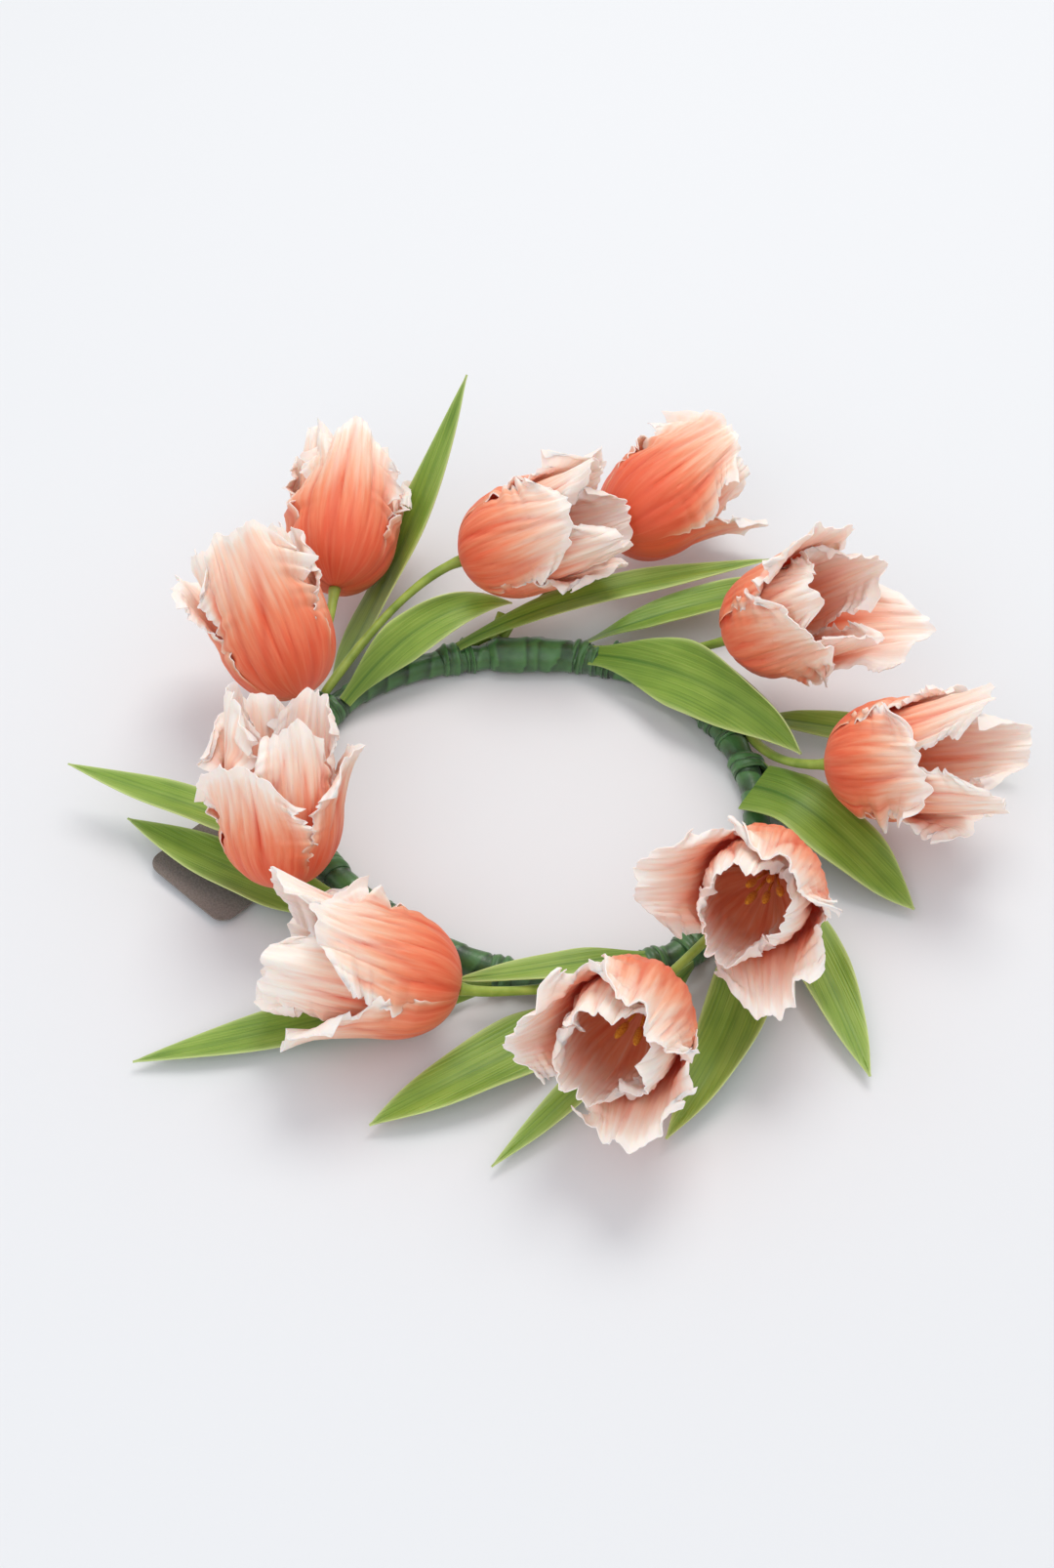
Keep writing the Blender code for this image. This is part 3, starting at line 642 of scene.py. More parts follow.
def winding_tree():
    tree, given, result = new_tree(
        "wind tape round a path",
        (
            ("Path", "NodeSocketGeometry", None),
            ("Radius", "NodeSocketFloat", 0.005),
            ("Pitch", "NodeSocketFloat", 0.008),
            ("Step", "NodeSocketFloat", 0.0005),
            ("Lump", "NodeSocketFloat", 0.0002),
            ("Core", "NodeSocketFloat", 0.0036),
            ("Sides", "NodeSocketInt", 24),
            ("Rows", "NodeSocketInt", 8),
            ("Finish", "NodeSocketMaterial", None),
        ),
    )

    # The number of turns is rounded, so that the spiral meets itself.
    length = add(tree, "GeometryNodeCurveLength", {0: given["Path"]}).outputs[0]
    wound = add(
        tree, "ShaderNodeMath", {0: length, 1: given["Pitch"]}, operation="DIVIDE"
    ).outputs[0]
    turns = add(tree, "ShaderNodeMath", {0: wound}, operation="ROUND").outputs[0]
    pitch = add(tree, "ShaderNodeMath", {0: length, 1: turns}, operation="DIVIDE").outputs[0]
    columns = add(tree, "ShaderNodeMath", {0: given["Sides"], 1: 1.0}, operation="ADD").outputs[0]
    rows = add(
        tree, "ShaderNodeMath", {0: turns, 1: given["Rows"], 2: 1.0}, operation="MULTIPLY_ADD"
    ).outputs[0]
    grid = add(tree, "GeometryNodeMeshGrid", {"Vertices X": rows, "Vertices Y": columns})

    # Each point's row and column give its share of a turn, and how far along the path it lies.
    index = add(tree, "GeometryNodeInputIndex").outputs[0]
    centred = add(tree, "ShaderNodeMath", {0: index, 1: 0.5}, operation="ADD").outputs[0]
    full_rows = add(tree, "ShaderNodeMath", {0: centred, 1: columns}, operation="DIVIDE").outputs[0]
    row = add(tree, "ShaderNodeMath", {0: full_rows}, operation="FLOOR").outputs[0]
    before = add(tree, "ShaderNodeMath", {0: row, 1: columns}, operation="MULTIPLY").outputs[0]
    column = add(tree, "ShaderNodeMath", {0: index, 1: before}, operation="SUBTRACT").outputs[0]
    around = add(
        tree, "ShaderNodeMath", {0: column, 1: given["Sides"]}, operation="DIVIDE"
    ).outputs[0]
    row_share = add(
        tree, "ShaderNodeMath", {0: row, 1: given["Rows"]}, operation="DIVIDE"
    ).outputs[0]
    turned_by = add(tree, "ShaderNodeMath", {0: row_share, 1: around}, operation="ADD").outputs[0]
    along = add(tree, "ShaderNodeMath", {0: turned_by, 1: pitch}, operation="MULTIPLY").outputs[0]
    nudged = add(tree, "ShaderNodeMath", {0: along, 1: 1e-7}, operation="ADD").outputs[0]
    wrapped = add(
        tree, "ShaderNodeMath", {0: nudged, 1: length}, operation="FLOORED_MODULO"
    ).outputs[0]
    sample = add(
        tree, "GeometryNodeSampleCurve", {"Curves": given["Path"], "Length": wrapped}, mode="LENGTH"
    )
    out = add(
        tree,
        "ShaderNodeVectorMath",
        {0: sample.outputs["Tangent"], 1: (0.0, 0.0, 1.0)},
        operation="CROSS_PRODUCT",
    )
    level = add(tree, "ShaderNodeVectorMath", {0: out.outputs[0]}, operation="NORMALIZE")

    # A spoke points out from the path at that turn. Its length is the tape's radius there: a saw
    # tooth for the lap, and soft lumps from a noise that reads the place round the ring.
    turn = add(tree, "ShaderNodeMath", {0: around, 1: 2 * math.pi}, operation="MULTIPLY").outputs[0]
    level_part = add(tree, "ShaderNodeMath", {0: turn}, operation="COSINE").outputs[0]
    upright_part = add(tree, "ShaderNodeMath", {0: turn}, operation="SINE").outputs[0]
    flat = add(
        tree, "ShaderNodeVectorMath", {0: level.outputs[0], 3: level_part}, operation="SCALE"
    )
    rise = add(tree, "ShaderNodeCombineXYZ", {"Z": upright_part})
    spoke = add(
        tree, "ShaderNodeVectorMath", {0: flat.outputs[0], 1: rise.outputs[0]}, operation="ADD"
    )
    lapped = add(
        tree, "ShaderNodeMath", {0: row, 1: given["Rows"]}, operation="FLOORED_MODULO"
    ).outputs[0]
    tooth = add(
        tree, "ShaderNodeMath", {0: lapped, 1: given["Rows"]}, operation="DIVIDE"
    ).outputs[0]
    body = add(
        tree,
        "ShaderNodeVectorMath",
        {0: spoke.outputs[0], 1: (0.006, 0.006, 0.006), 2: sample.outputs["Position"]},
        operation="MULTIPLY_ADD",
    )
    noise = add(
        tree, "ShaderNodeTexNoise", {"Vector": body.outputs[0], "Scale": 75.0, "Detail": 2.0}
    ).outputs["Fac"]
    swing = add(tree, "ShaderNodeMath", {0: noise, 1: 0.5}, operation="SUBTRACT").outputs[0]
    lump = add(
        tree, "ShaderNodeMath", {0: swing, 1: given["Lump"]}, operation="MULTIPLY"
    ).outputs[0]
    lump_height = add(tree, "ShaderNodeMath", {0: lump, 1: 2.0}, operation="MULTIPLY").outputs[0]
    stepped = add(
        tree,
        "ShaderNodeMath",
        {0: tooth, 1: given["Step"], 2: given["Radius"]},
        operation="MULTIPLY_ADD",
    ).outputs[0]
    height = add(tree, "ShaderNodeMath", {0: stepped, 1: lump_height}, operation="ADD").outputs[0]
    reach = add(tree, "ShaderNodeVectorMath", {0: spoke.outputs[0], 3: height}, operation="SCALE")
    place = add(
        tree,
        "ShaderNodeVectorMath",
        {0: reach.outputs[0], 1: sample.outputs["Position"]},
        operation="ADD",
    )

    # The table presses the underside flat. The points are moved, and the seam is joined.
    parts = add(tree, "ShaderNodeSeparateXYZ", {0: place.outputs[0]})
    lowest = add(
        tree, "ShaderNodeMath", {0: parts.outputs[2], 1: 0.0}, operation="MAXIMUM"
    ).outputs[0]
    pressed = add(
        tree, "ShaderNodeCombineXYZ", {0: parts.outputs[0], 1: parts.outputs[1], 2: lowest}
    )
    # The saw tooth is also kept for the material, which paints shade under each lap and a highlight
    # at its edge from it.
    marked = add(
        tree,
        "GeometryNodeStoreNamedAttribute",
        {"Geometry": grid.outputs["Mesh"], "Name": "lap_rise_and_painted_shade", "Value": tooth},
    )
    moved = add(
        tree,
        "GeometryNodeSetPosition",
        {"Geometry": marked.outputs[0], "Position": pressed.outputs[0]},
    )
    joined = add(
        tree, "GeometryNodeMergeByDistance", {"Geometry": moved.outputs[0], "Distance": 0.00002}
    )
    turned = add(tree, "GeometryNodeFlipFaces", {"Mesh": joined.outputs[0]})

    # A plain bore closes the inside, round the wire.
    bore_line = add(
        tree, "GeometryNodeCurvePrimitiveCircle", {"Resolution": 16, "Radius": given["Core"]}
    )
    bore = add(
        tree,
        "GeometryNodeCurveToMesh",
        {"Curve": given["Path"], "Profile Curve": bore_line.outputs[0]},
    )
    inward = add(tree, "GeometryNodeFlipFaces", {"Mesh": bore.outputs[0]})
    both = add(tree, "GeometryNodeJoinGeometry")
    tree.links.new(turned.outputs[0], both.inputs[0])
    tree.links.new(inward.outputs[0], both.inputs[0])
    real = add(tree, "GeometryNodeRealizeInstances", {0: both.outputs[0]})
    coated = add(
        tree, "GeometryNodeSetMaterial", {"Geometry": real.outputs[0], "Material": given["Finish"]}
    )
    tree.links.new(coated.outputs[0], result[0])
    return tree


def grown(name, start, tree, values):
    """Runs a node group on an object, and keeps its result as a plain mesh under the name given."""
    put(start)
    modifier = start.modifiers.new("grow", "NODES")
    modifier.node_group = tree
    for item in tree.interface.items_tree:
        if item.in_out == "INPUT" and item.name in values:
            modifier[item.identifier] = values[item.name]
    evaluated = start.evaluated_get(bpy.context.evaluated_depsgraph_get())
    mesh = bpy.data.meshes.new_from_object(evaluated)
    mesh.name = name
    start.modifiers.remove(modifier)
    bpy.data.objects.remove(start, do_unlink=True)
    mesh.shade_smooth()
    return put(bpy.data.objects.new(name, mesh))


# %% Wind the ring
path_data = bpy.data.curves.new("ring_path", "CURVE")
path_data.dimensions = "3D"
spline = path_data.splines.new("POLY")
RING_POINTS = 240
spline.points.add(RING_POINTS - 1)
for i in range(RING_POINTS):
    angle = 360 * i / RING_POINTS
    spline.points[i].co = (*(outward(angle) * ring_radius(angle) + UP * RING_HEIGHT), 1)
spline.use_cyclic_u = True
ring_tape = grown(
    "ring_tape_wound",
    bpy.data.objects.new("ring_path", path_data),
    winding_tree(),
    {
        "Radius": TAPE_RADIUS - TAPE_STEP / 2,
        "Pitch": TAPE_PITCH,
        "Step": TAPE_STEP,
        "Lump": TAPE_LUMP,
        "Core": TAPE_CORE,
        "Sides": TAPE_ROUND,
        "Rows": TAPE_ROWS,
        "Finish": TAPE,
    },
)
ring_tape.data.set_sharp_from_angle(angle=math.radians(50))
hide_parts("ring_tape")
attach(ring_tape, "root")
print("ring tape faces", len(ring_tape.data.polygons))

# %% [markdown]
# ## The binding and the foot wraps
# Where the wire's ends pass each other, the maker winds on more tape until the joint is a thick,
# uneven lump. Each stem and leaf is held by a short wrap as well. Both are the same thing, a band
# of tape round something, so one function makes them. It takes how far the band reaches from the
# ring's centre line at each turn and place, and adds uneven ridges that slant like wound tape.

# %% Bands of tape
BINDING_ANGLE = 90
BINDING_SPAN = 26
BINDING_HALF_WIDE = 0.0080
BINDING_TOP = 0.0081
BAND_STATIONS = 30
BAND_SIDES = 40
BAND_WALL = 0.0005
BAND_LAP = 0.00055
BAND_LUMP = 0.00022
BINDING_START = 0.0006
WRAP_START = 0.0004


def tape_band(name, start, end, reach, ridges, seed):
    """A closed band round the ring from one angle to another, with its own thickness of tape."""
    draw = np.random.default_rng(seed)
    phases = draw.uniform(0, 2 * math.pi, 4)
    turns = 2 * np.pi * np.arange(BAND_SIDES) / BAND_SIDES
    share = np.linspace(0, 1, BAND_STATIONS)[:, None]
    uneven = share + 0.06 * np.sin(2 * np.pi * 1.7 * share + phases[0])
    uneven = uneven + 0.012 * np.sin(3 * turns + phases[3])
    lap_rise_and_painted_shade = (uneven * ridges + turns / (2 * np.pi)) % 1.0
    wobble = np.sin(2 * turns + phases[1] + 3 * share)
    wobble = wobble + np.sin(5 * share * np.pi + turns + phases[2])
    edge = np.clip(np.minimum(share, 1 - share) * 14, 0, 1)
    far = reach(share, turns) + (BAND_LAP * lap_rise_and_painted_shade + BAND_LUMP * wobble) * edge
    shells = np.concatenate([far, (far - BAND_WALL)[::-1]])
    angles = start + (end - start) * np.concatenate([share, share[::-1]]).ravel()
    loops = []
    for angle, distance in zip(angles, shells):
        out = ring_radius(angle) + distance * np.cos(turns)
        up = np.maximum(RING_HEIGHT + distance * np.sin(turns), 0.0)
        loops.append(outward(angle) * out[:, None] + UP * up[:, None])
    points = np.array(loops)
    # The lap's rise is kept for the tape's painted shade and highlight; the inner wall gets none.
    lap_shade_values = np.concatenate([lap_rise_and_painted_shade, np.zeros_like(lap_rise_and_painted_shade)])
    quads = skin(points, "round")[:, ::-1]
    piece = mesh_piece(name, points.reshape(-1, 3), quads, [TAPE], attributes={"lap_rise_and_painted_shade": lap_shade_values})
    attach(piece, "root")
    return piece


def binding_reach(share, turns):
    """Half an ellipse over half a flatter one. It starts abruptly and thins at its far end."""
    full = np.clip(share * 9, 0, 1) * (1 - 0.55 * smooth(0.6, 1.0, share))
    wide = TAPE_RADIUS + BINDING_START + (BINDING_HALF_WIDE - TAPE_RADIUS - BINDING_START) * full
    high = TAPE_RADIUS + BINDING_START + (BINDING_TOP - TAPE_RADIUS - BINDING_START) * full
    high = np.where(np.sin(turns) > 0, high, RING_HEIGHT)
    return wide * high / np.hypot(high * np.cos(turns), wide * np.sin(turns))


binding = tape_band(
    "joint_binding_wound",
    BINDING_ANGLE + BINDING_SPAN / 2,
    BINDING_ANGLE - BINDING_SPAN / 2,
    binding_reach,
    4.4,
    3,
)
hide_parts("joint_binding")


def wrap_reach(seat, held, sharpness):
    """A wrap round the ring and a foot: held is how far the foot stands out, at the angle seat."""

    def reach(share, turns):
        towards = np.maximum(np.cos(turns - math.radians(seat)), 0) ** sharpness
        return TAPE_RADIUS + WRAP_START + held * smooth(0, 0.42, share) * towards

    return reach


# Where each wrap starts and ends, in degrees from its foot, and how thick its tape lies over it.
STEM_WRAP = (2.0, -0.6)
STEM_TAPE_OVER = 0.0011
LEAF_TAPE_OVER = 0.0012
LEAF_WRAP = (3.0, -2.6)
for number, (name, plan) in enumerate(TULIPS.items()):
    ends = (plan.foot + STEM_WRAP[0], plan.foot + STEM_WRAP[1])
    held = wrap_reach(plan.seat, 2 * STEM_RADIUS + STEM_TAPE_OVER, 4)
    tape_band(name + "_wrap", *ends, held, 1.6, 20 + number)
for number, (name, plan) in enumerate(LEAVES.items()):
    if plan.foot_share < 0.5 and name != "leaf_15":
        ends = (plan.foot + LEAF_WRAP[0], plan.foot + LEAF_WRAP[1])
        held = wrap_reach(plan.seat, LEAF_THICKNESS + LEAF_TAPE_OVER, 1.5)
        tape_band(name + "_wrap", *ends, held, 1.8, 40 + number)

# %% [markdown]
# ## The strap leaves
# A tulip's leaf is a long strap with parallel veins. It is folded along its middle, and its rim
# waves gently. The rib's path and the width are the plan's own formulas, so the fine leaf lies
# where its solid does. The fold is rounded at the rib, because foam doesn't crease.

# %% Make the leaves
LEAF_ROWS = 80
LEAF_COLUMNS = 20
LEAF_WIDEST = 0.42
LEAF_RIPPLE = 0.0011
LEAF_RIDGE = 0.00007


def through_four(values, along):
    """A smooth curve through four values spaced evenly from 0 to 1."""
    total = 0.0
    for i, value in enumerate(values):
        weight = 1.0
        for j in range(4):
            if j != i:
                weight = weight * (along * 3 - j) / (i - j)
        total = total + value * weight
    return total


def leaf_sheet(plan, draw):
    """The leaf's middle surface as a grid, with its thickness and its rim's paleness."""
    along = np.linspace(0, 1, LEAF_ROWS + 1)
    veers = plan.veer + plan.bend * along
    steps = np.array([heading(plan.foot, veer) for veer in veers[:-1]])
    steps = steps * (plan.reach * MM / LEAF_ROWS)
    foot = seat_point(plan.foot, plan.seat, LEAF_THICKNESS)
    rib = foot + np.concatenate([np.zeros((1, 3)), np.cumsum(steps, axis=0)])
    drop = (foot[2] - plan.heights[0] * MM) * (1 - np.clip(along * 4, 0, 1))
    rib[:, 2] = through_four(plan.heights, along) * MM + drop
    ahead = unit(np.gradient(rib, axis=0))
    level = unit(np.cross(UP, ahead))
    up = np.cross(ahead, level)
    laid = plan.rolls[0] + (plan.rolls[1] - plan.rolls[0]) * smooth(0, 1, along * 2 - 1)
    roll = np.radians(plan.seat - 90 + (laid - plan.seat + 90) * smooth(0, 1, along * 4))[:, None]
    side = level * np.cos(roll) + up * np.sin(roll)
    normal = up * np.cos(roll) - level * np.sin(roll)
    fold = np.radians(plan.fold) * smooth(0, 1, along * 3) * (1 - 0.6 * along)
    rising = plan.foot_share + (1 - plan.foot_share) * smooth(0, 1, along / LEAF_WIDEST)
    falling = 1 - np.clip((along - LEAF_WIDEST) / (1 - LEAF_WIDEST), 0, 1) ** 2.2
    half = np.maximum(0.03, np.where(along < LEAF_WIDEST, rising, falling)) * plan.width * MM / 2
    u = np.linspace(-1, 1, LEAF_COLUMNS + 1)
    vee = np.sqrt(u * u + 0.02) - math.sqrt(0.02)
    grow = smooth(0.1, 0.5, along)[:, None]
    phase = draw.uniform(0, 2 * math.pi, 3)
    wave = np.sin(2 * np.pi * 2.3 * along + phase[0])[:, None] * np.maximum(u, 0) ** 3
    wave = wave + np.sin(2 * np.pi * 1.8 * along + phase[1])[:, None] * np.maximum(-u, 0) ** 3
    widen = half[:, None] / 0.012
    ripple = wave * LEAF_RIPPLE * grow * widen
    ridges = LEAF_RIDGE * np.cos(u * np.pi * 9) * grow
    late = smooth(0.35, 0.8, along)[:, None]
    rolled = plan.curl * MM * np.maximum(u, 0) ** 3 * late * widen
    lift = (vee * half[:, None]) * np.sin(fold)[:, None] + ripple + ridges + rolled
    reach = (u * half[:, None]) * np.cos(fold)[:, None] - 0.6 * rolled * np.maximum(u, 0)
    middle = (
        rib[:, None, :] + side[:, None, :] * reach[..., None] + normal[:, None, :] * lift[..., None]
    )
    edge = (1 - np.abs(u)) * half[:, None]
    tip = (1 - along)[:, None] * plan.reach * MM
    pale = 0.75 * np.exp(-np.minimum(edge, tip * 0.3) / 0.0007) * (0.35 + 0.65 * grow)
    thickness = LEAF_THICKNESS * (0.45 + 0.55 * np.clip(edge / 0.002, 0, 1))
    place = np.stack(
        np.broadcast_arrays(u * half[:, None] / 0.02, along[:, None] * plan.reach / 40), -1
    )
    # Painted shade along the fold down the middle and towards the narrow foot.
    crease_shade = 0.75 * np.exp(-((u / 0.10) ** 2)) * (1 - 0.7 * along[:, None]) + 0.35 * (1 - grow)
    return middle, thickness, pale, crease_shade, place


for number, (name, plan) in enumerate(LEAVES.items()):
    sheet, thickness, pale, crease_shade, place = leaf_sheet(plan, np.random.default_rng(100 + number))
    points, faces, side = shell(sheet, thickness)
    points[:, 2] = np.maximum(points[:, 2], 0.0)
    piece = mesh_piece(
        name + "_blade",
        points,
        faces,
        [LEAF_TOP, LEAF_UNDER],
        np.tile(place.reshape(-1, 2), (2, 1)),
        side,
        {"pale": np.tile(pale.ravel(), 2), "fold": np.tile(crease_shade.ravel(), 2)},
    )
    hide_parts(name)
    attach(piece, "tulip_01" if name == "leaf_15" else "root")
print("leaves", len(LEAVES))

# %% [markdown]
# ## The blooms
# A parrot tulip has three outer and three inner petals. Each is a scoop that hugs the cup, ribbed
# lengthwise from its base, and its rim is torn into small teeth and ruffled. A petal is made as a
# grid wrapped round the bloom's axis: one term for each thing that the eye sees, the cup's
# profile, the ribs, the ruffles along the sides, the ruffles along the top, the teeth, and the
# outward bend of an open petal.

# %% The cup's profile and the bloom's own directions
HEAD_LENGTH = 0.072
HEAD_RADIUS = 0.0235
OPEN_FLARE = 0.75
PETAL_THICKNESS = 0.0009
WIDEST_SHARE = 0.38
RIM_SHARE = 0.64


def cup_radius(share, openness):
    """The cup's radius: round at the bottom, fullest at two fifths, drawn in or flared above."""
    low = np.clip(1 - share / WIDEST_SHARE, 0, 1)
    high = np.clip((share - WIDEST_SHARE) / (1 - WIDEST_SHARE), 0, 1.3)
    closed = np.sqrt(1 - low**2.2) - (1 - RIM_SHARE) * high**2
    return HEAD_RADIUS * (closed + OPEN_FLARE * openness * np.maximum(0, share - 0.3) ** 1.5)


def bloom_frame(plan):
    """The bloom's base, its axis, and the two directions across it."""
    pitch = math.radians(plan.pitch)
    axis = heading(plan.foot, plan.turn) * math.cos(pitch) + UP * math.sin(pitch)
    foot = seat_point(plan.foot, plan.seat, 2 * STEM_RADIUS)
    base = foot + heading(plan.foot, plan.veer) * plan.reach * MM
    base[2] = plan.height * MM
    side = np.cross(UP, axis)
    side /= np.linalg.norm(side)
    return foot, base, axis, side, np.cross(axis, side)


# %% One petal
PETAL_ROWS = 74
PETAL_COLUMNS = 46
TOOTH = 0.0024  # one tooth of the rim, along it
INNER_INSET = 0.0034  # how far the inner cup lies inside the outer one
LOBE = 0.0032
SIDE_TOOTH = 0.0015
TOP_TOOTH = 0.0017
SIDE_WAVE = 0.0042
SIDE_FRILL = 0.0020
TOP_WAVE = 0.0036
TOP_FRILL = 0.0022
RIB_HEIGHT = 0.00022
GROOVE_DEPTH = 0.0010
LAP_HEIGHT = 0.00045
CREASE_DEPTH = 0.0017
RIM_WIDTH = 0.0016


def jagged(draw, knots):
    """A random zigzag between -1 and 1, as a function of a share from 0 to 1."""
    heights = draw.uniform(-1, 1, knots + 1)
    return lambda share: np.interp(share, np.linspace(0, 1, knots + 1), heights)


def wavy(draw, knots):
    """A random smooth wave between -1 and 1, as a function of a share from 0 to 1."""
    heights = draw.uniform(-1, 1, knots + 2)

    def height(share):
        place = np.clip(share, 0, 1) * knots
        low = np.floor(place).astype(int)
        blend = smooth(0, 1, place - low)
        return heights[low] * (1 - blend) + heights[low + 1] * blend

    return height


def creases(draw, u, v):
    """Sharp valleys between soft swellings, running mostly lengthwise, as depths."""
    depth = 0.0
    for across in (1.1, 1.9, 2.7, 3.9):
        leaning = draw.uniform(-0.9, 0.9)
        phase = draw.uniform(0, 2 * math.pi)
        fold = np.sin(np.pi * (across * u + leaning * v + 0.12 * np.sin(5 * v + phase)) + phase)
        depth = depth + (1 - np.abs(fold)) ** 2.5 / across**0.5
    return depth / 2


def petal_sheet(plan, kind, turn, share_of_length, flare, draw):
    """A petal's middle surface as distances out, along and round, with what its material reads."""
    outer = kind == "outer"
    u = np.linspace(-1, 1, PETAL_COLUMNS + 1)[None, :]
    v = np.linspace(0, 1, PETAL_ROWS + 1)[:, None]
    length = HEAD_LENGTH * (0.96 if outer else 1.0) * share_of_length
    right = u > 0
    lobes = [wavy(draw, 7) for _ in range(2)]
    teeth = [jagged(draw, int(1.6 * length / TOOTH)) for _ in range(2)]
    side_waves = [wavy(draw, 11) for _ in range(2)]
    side_frills = [wavy(draw, 24) for _ in range(2)]
    top_lobe = wavy(draw, 4)
    top_teeth = jagged(draw, int(0.05 / TOOTH))
    top_wave = wavy(draw, 5)
    top_frill = wavy(draw, 13)

    def by_side(pair):
        return np.where(right, pair[0](v), pair[1](v))

    # Along the bloom: a rounded top with uneven lobes and teeth.
    across_share = (u + 1) / 2
    along = length * v * (1 - (0.27 if outer else 0.20) * np.abs(u) ** 2.8 * v**2)
    along = along + LOBE * v**6 * top_lobe(across_share)
    along = along + TOP_TOOTH * v**10 * top_teeth(across_share)

    # Round the bloom: wide enough at the base to meet its neighbours, and narrower at the top.
    spread = np.radians((66 if outer else 62) - (17 if outer else 5) * smooth(0.35, 1.0, v))
    radius = cup_radius(along / HEAD_LENGTH, plan.open if outer else plan.core)
    spread = spread * (1 - 0.40 * max(flare, 0) * smooth(0.3, 1.0, v))
    radius = np.maximum(radius - (0.0 if outer else INNER_INSET), 0.0016)
    ragged = smooth(0.15, 0.4, v)
    sideways = np.abs(u) ** 5 * LOBE * by_side(lobes)
    sideways = sideways + np.abs(u) ** 14 * SIDE_TOOTH * by_side(teeth)
    around = u * spread + np.sign(u) * sideways * ragged / np.maximum(radius, 0.012)

    # Creases and fine ribs from the base, a groove down the middle, and one side over the next.
    depth = creases(draw, u, v)
    swell = smooth(0.0, 0.3, v) * (1 - 0.25 * v)
    ribs = RIB_HEIGHT * np.sin(2 * np.pi * 8 * u) * smooth(0.05, 0.4, v)
    groove = -GROOVE_DEPTH * np.exp(-((u / 0.09) ** 2)) * np.sin(np.pi * np.clip(v, 0, 0.95))
    lapped = LAP_HEIGHT * u * (1 - smooth(0.4, 0.8, v))

    # Ruffles along the two sides and across the top, with the rim curled outwards.
    sides = np.abs(u) ** 3 * smooth(0.14, 0.5, v) * (1 - 1.2 * max(flare, 0))
    ruffle = sides * (SIDE_WAVE * by_side(side_waves) + SIDE_FRILL * by_side(side_frills))
    if not outer:
        ruffle = (ruffle - 0.0030 * sides) * (0.4 + 0.7 * smooth(0.5, 0.8, v))
    top = TOP_WAVE * v**4 * top_wave(across_share) + TOP_FRILL * v**8 * top_frill(across_share)
    ruffle = ruffle + top * (1 - 0.7 * u**4)
    curl = (0.0034 if outer else 0.0008) * np.abs(u) ** 5 * smooth(0.35, 0.9, v)
    curl = curl + (0.0030 if outer else 0.0004) * v**7
    out = radius + ribs + groove + lapped + ruffle + curl - CREASE_DEPTH * depth * swell

    # An open petal bends outwards from two fifths of the head's length.
    start = 0.38 * HEAD_LENGTH
    past = np.maximum(along - start, 0)
    lean = flare * np.sqrt(past / (HEAD_LENGTH - start))
    away = past * np.sin(lean)
    along = along - past * (1 - np.cos(lean))

    side_gap = (1 - np.abs(u)) * spread * radius
    rim_gap = np.minimum(side_gap, (1 - v) * length)
    rim = np.exp(-rim_gap / RIM_WIDTH) * smooth(0.08, 0.35, v)
    pale = 0.02 + 0.76 * smooth(0.16, 1.0, v)
    pale = pale + 0.22 * np.exp(-rim_gap / 0.005) * smooth(0.2, 0.5, v)
    pale = pale + 0.6 * rim + plan.blush + (0.0 if outer else 0.12)
    # Painted shade in the creases' valleys, fading towards the top and at the rim.
    fold = np.clip(depth * 1.2 - 0.2, 0, 1) * (1 - 0.8 * smooth(0.5, 0.95, v)) * 0.9 * (1 - rim)
    thickness = PETAL_THICKNESS * (0.4 + 0.6 * np.clip(rim_gap / 0.004, 0, 1))
    place = np.stack(np.broadcast_arrays(u / 2, v), -1)
    return out, along, around + math.radians(turn), away, pale, fold, thickness, place


# %% Whorls of three petals
PETAL_TURNS = (60, 180, 300)


def whorl(name, plan, kind, spin, lengths, flares, seed):
    """Three petals of one bloom as one piece of three closed bodies."""
    _, base, axis, side, up = bloom_frame(plan)
    floor = base + axis * (GAP if kind == "outer" else 0.0020 + GAP)
    points = []
    faces = []
    sides = []
    uvs = []
    pales = []
    fold_shades = []
    count = 0
    for number, turn in enumerate(PETAL_TURNS):
        draw = np.random.default_rng(seed + number)
        out, along, around, away, pale, fold, thickness, place = petal_sheet(
            plan, kind, turn + spin, lengths[number], flares[number], draw
        )
        spoke = np.cos(around)[..., None] * side + np.sin(around)[..., None] * up
        middle = math.radians(turn + spin)
        lean_way = side * math.cos(middle) + up * math.sin(middle)
        sheet = (
            floor + axis * along[..., None] + spoke * out[..., None] + lean_way * away[..., None]
        )
        body, quads, which = shell(sheet, thickness)
        points.append(body)
        faces.append(quads + count)
        sides.append(which)
        uvs.append(np.tile(place.reshape(-1, 2) + (number, 0), (2, 1)))
        pales.append(np.tile(pale.ravel(), 2))
        fold_shades.append(np.tile(fold.ravel(), 2))
        count += len(body)
    piece = mesh_piece(
        name,
        np.concatenate(points),
        np.concatenate(faces),
        [PETAL_IN, PETAL_OUT],
        np.concatenate(uvs),
        np.concatenate(sides),
        {"pale": np.concatenate(pales), "fold": np.concatenate(fold_shades)},
    )
    return piece


for number, (name, plan) in enumerate(TULIPS.items()):
    for kind, spin, petals, slot_name, seed in (
        ("outer", plan.spin, slice(0, 3), "petal_coral", 1000),
        ("inner", plan.spin + 60, slice(3, 6), "petal_pale", 2000),
    ):
        node = f"{name}_{kind}_petals"
        lengths = plan.lengths[petals]
        flares = plan.flares[petals]
        piece = whorl(node + "_fringed", plan, kind, spin, lengths, flares, seed + 10 * number)
        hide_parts(node)
        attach(piece, name)
print("whorls", 2 * len(TULIPS))

# %% [markdown]
# ## Stems
# A stem is a wire in a green plastic coat. It leaves the ring along the tape and bends up into the
# bloom, where it thickens a little to carry the petals.

# %% Make the stems
STEM_ROWS = 48
STEM_SIDES = 16
STEM_LEAVE = 0.42
STEM_NECK = 0.25


def spokes(across, over, sides):
    """Directions out from each point of a line, one for each side of a round section."""
    turns = 2 * np.pi * np.arange(sides) / sides
    return across[:, None] * np.cos(turns)[:, None] + over[:, None] * np.sin(turns)[:, None]


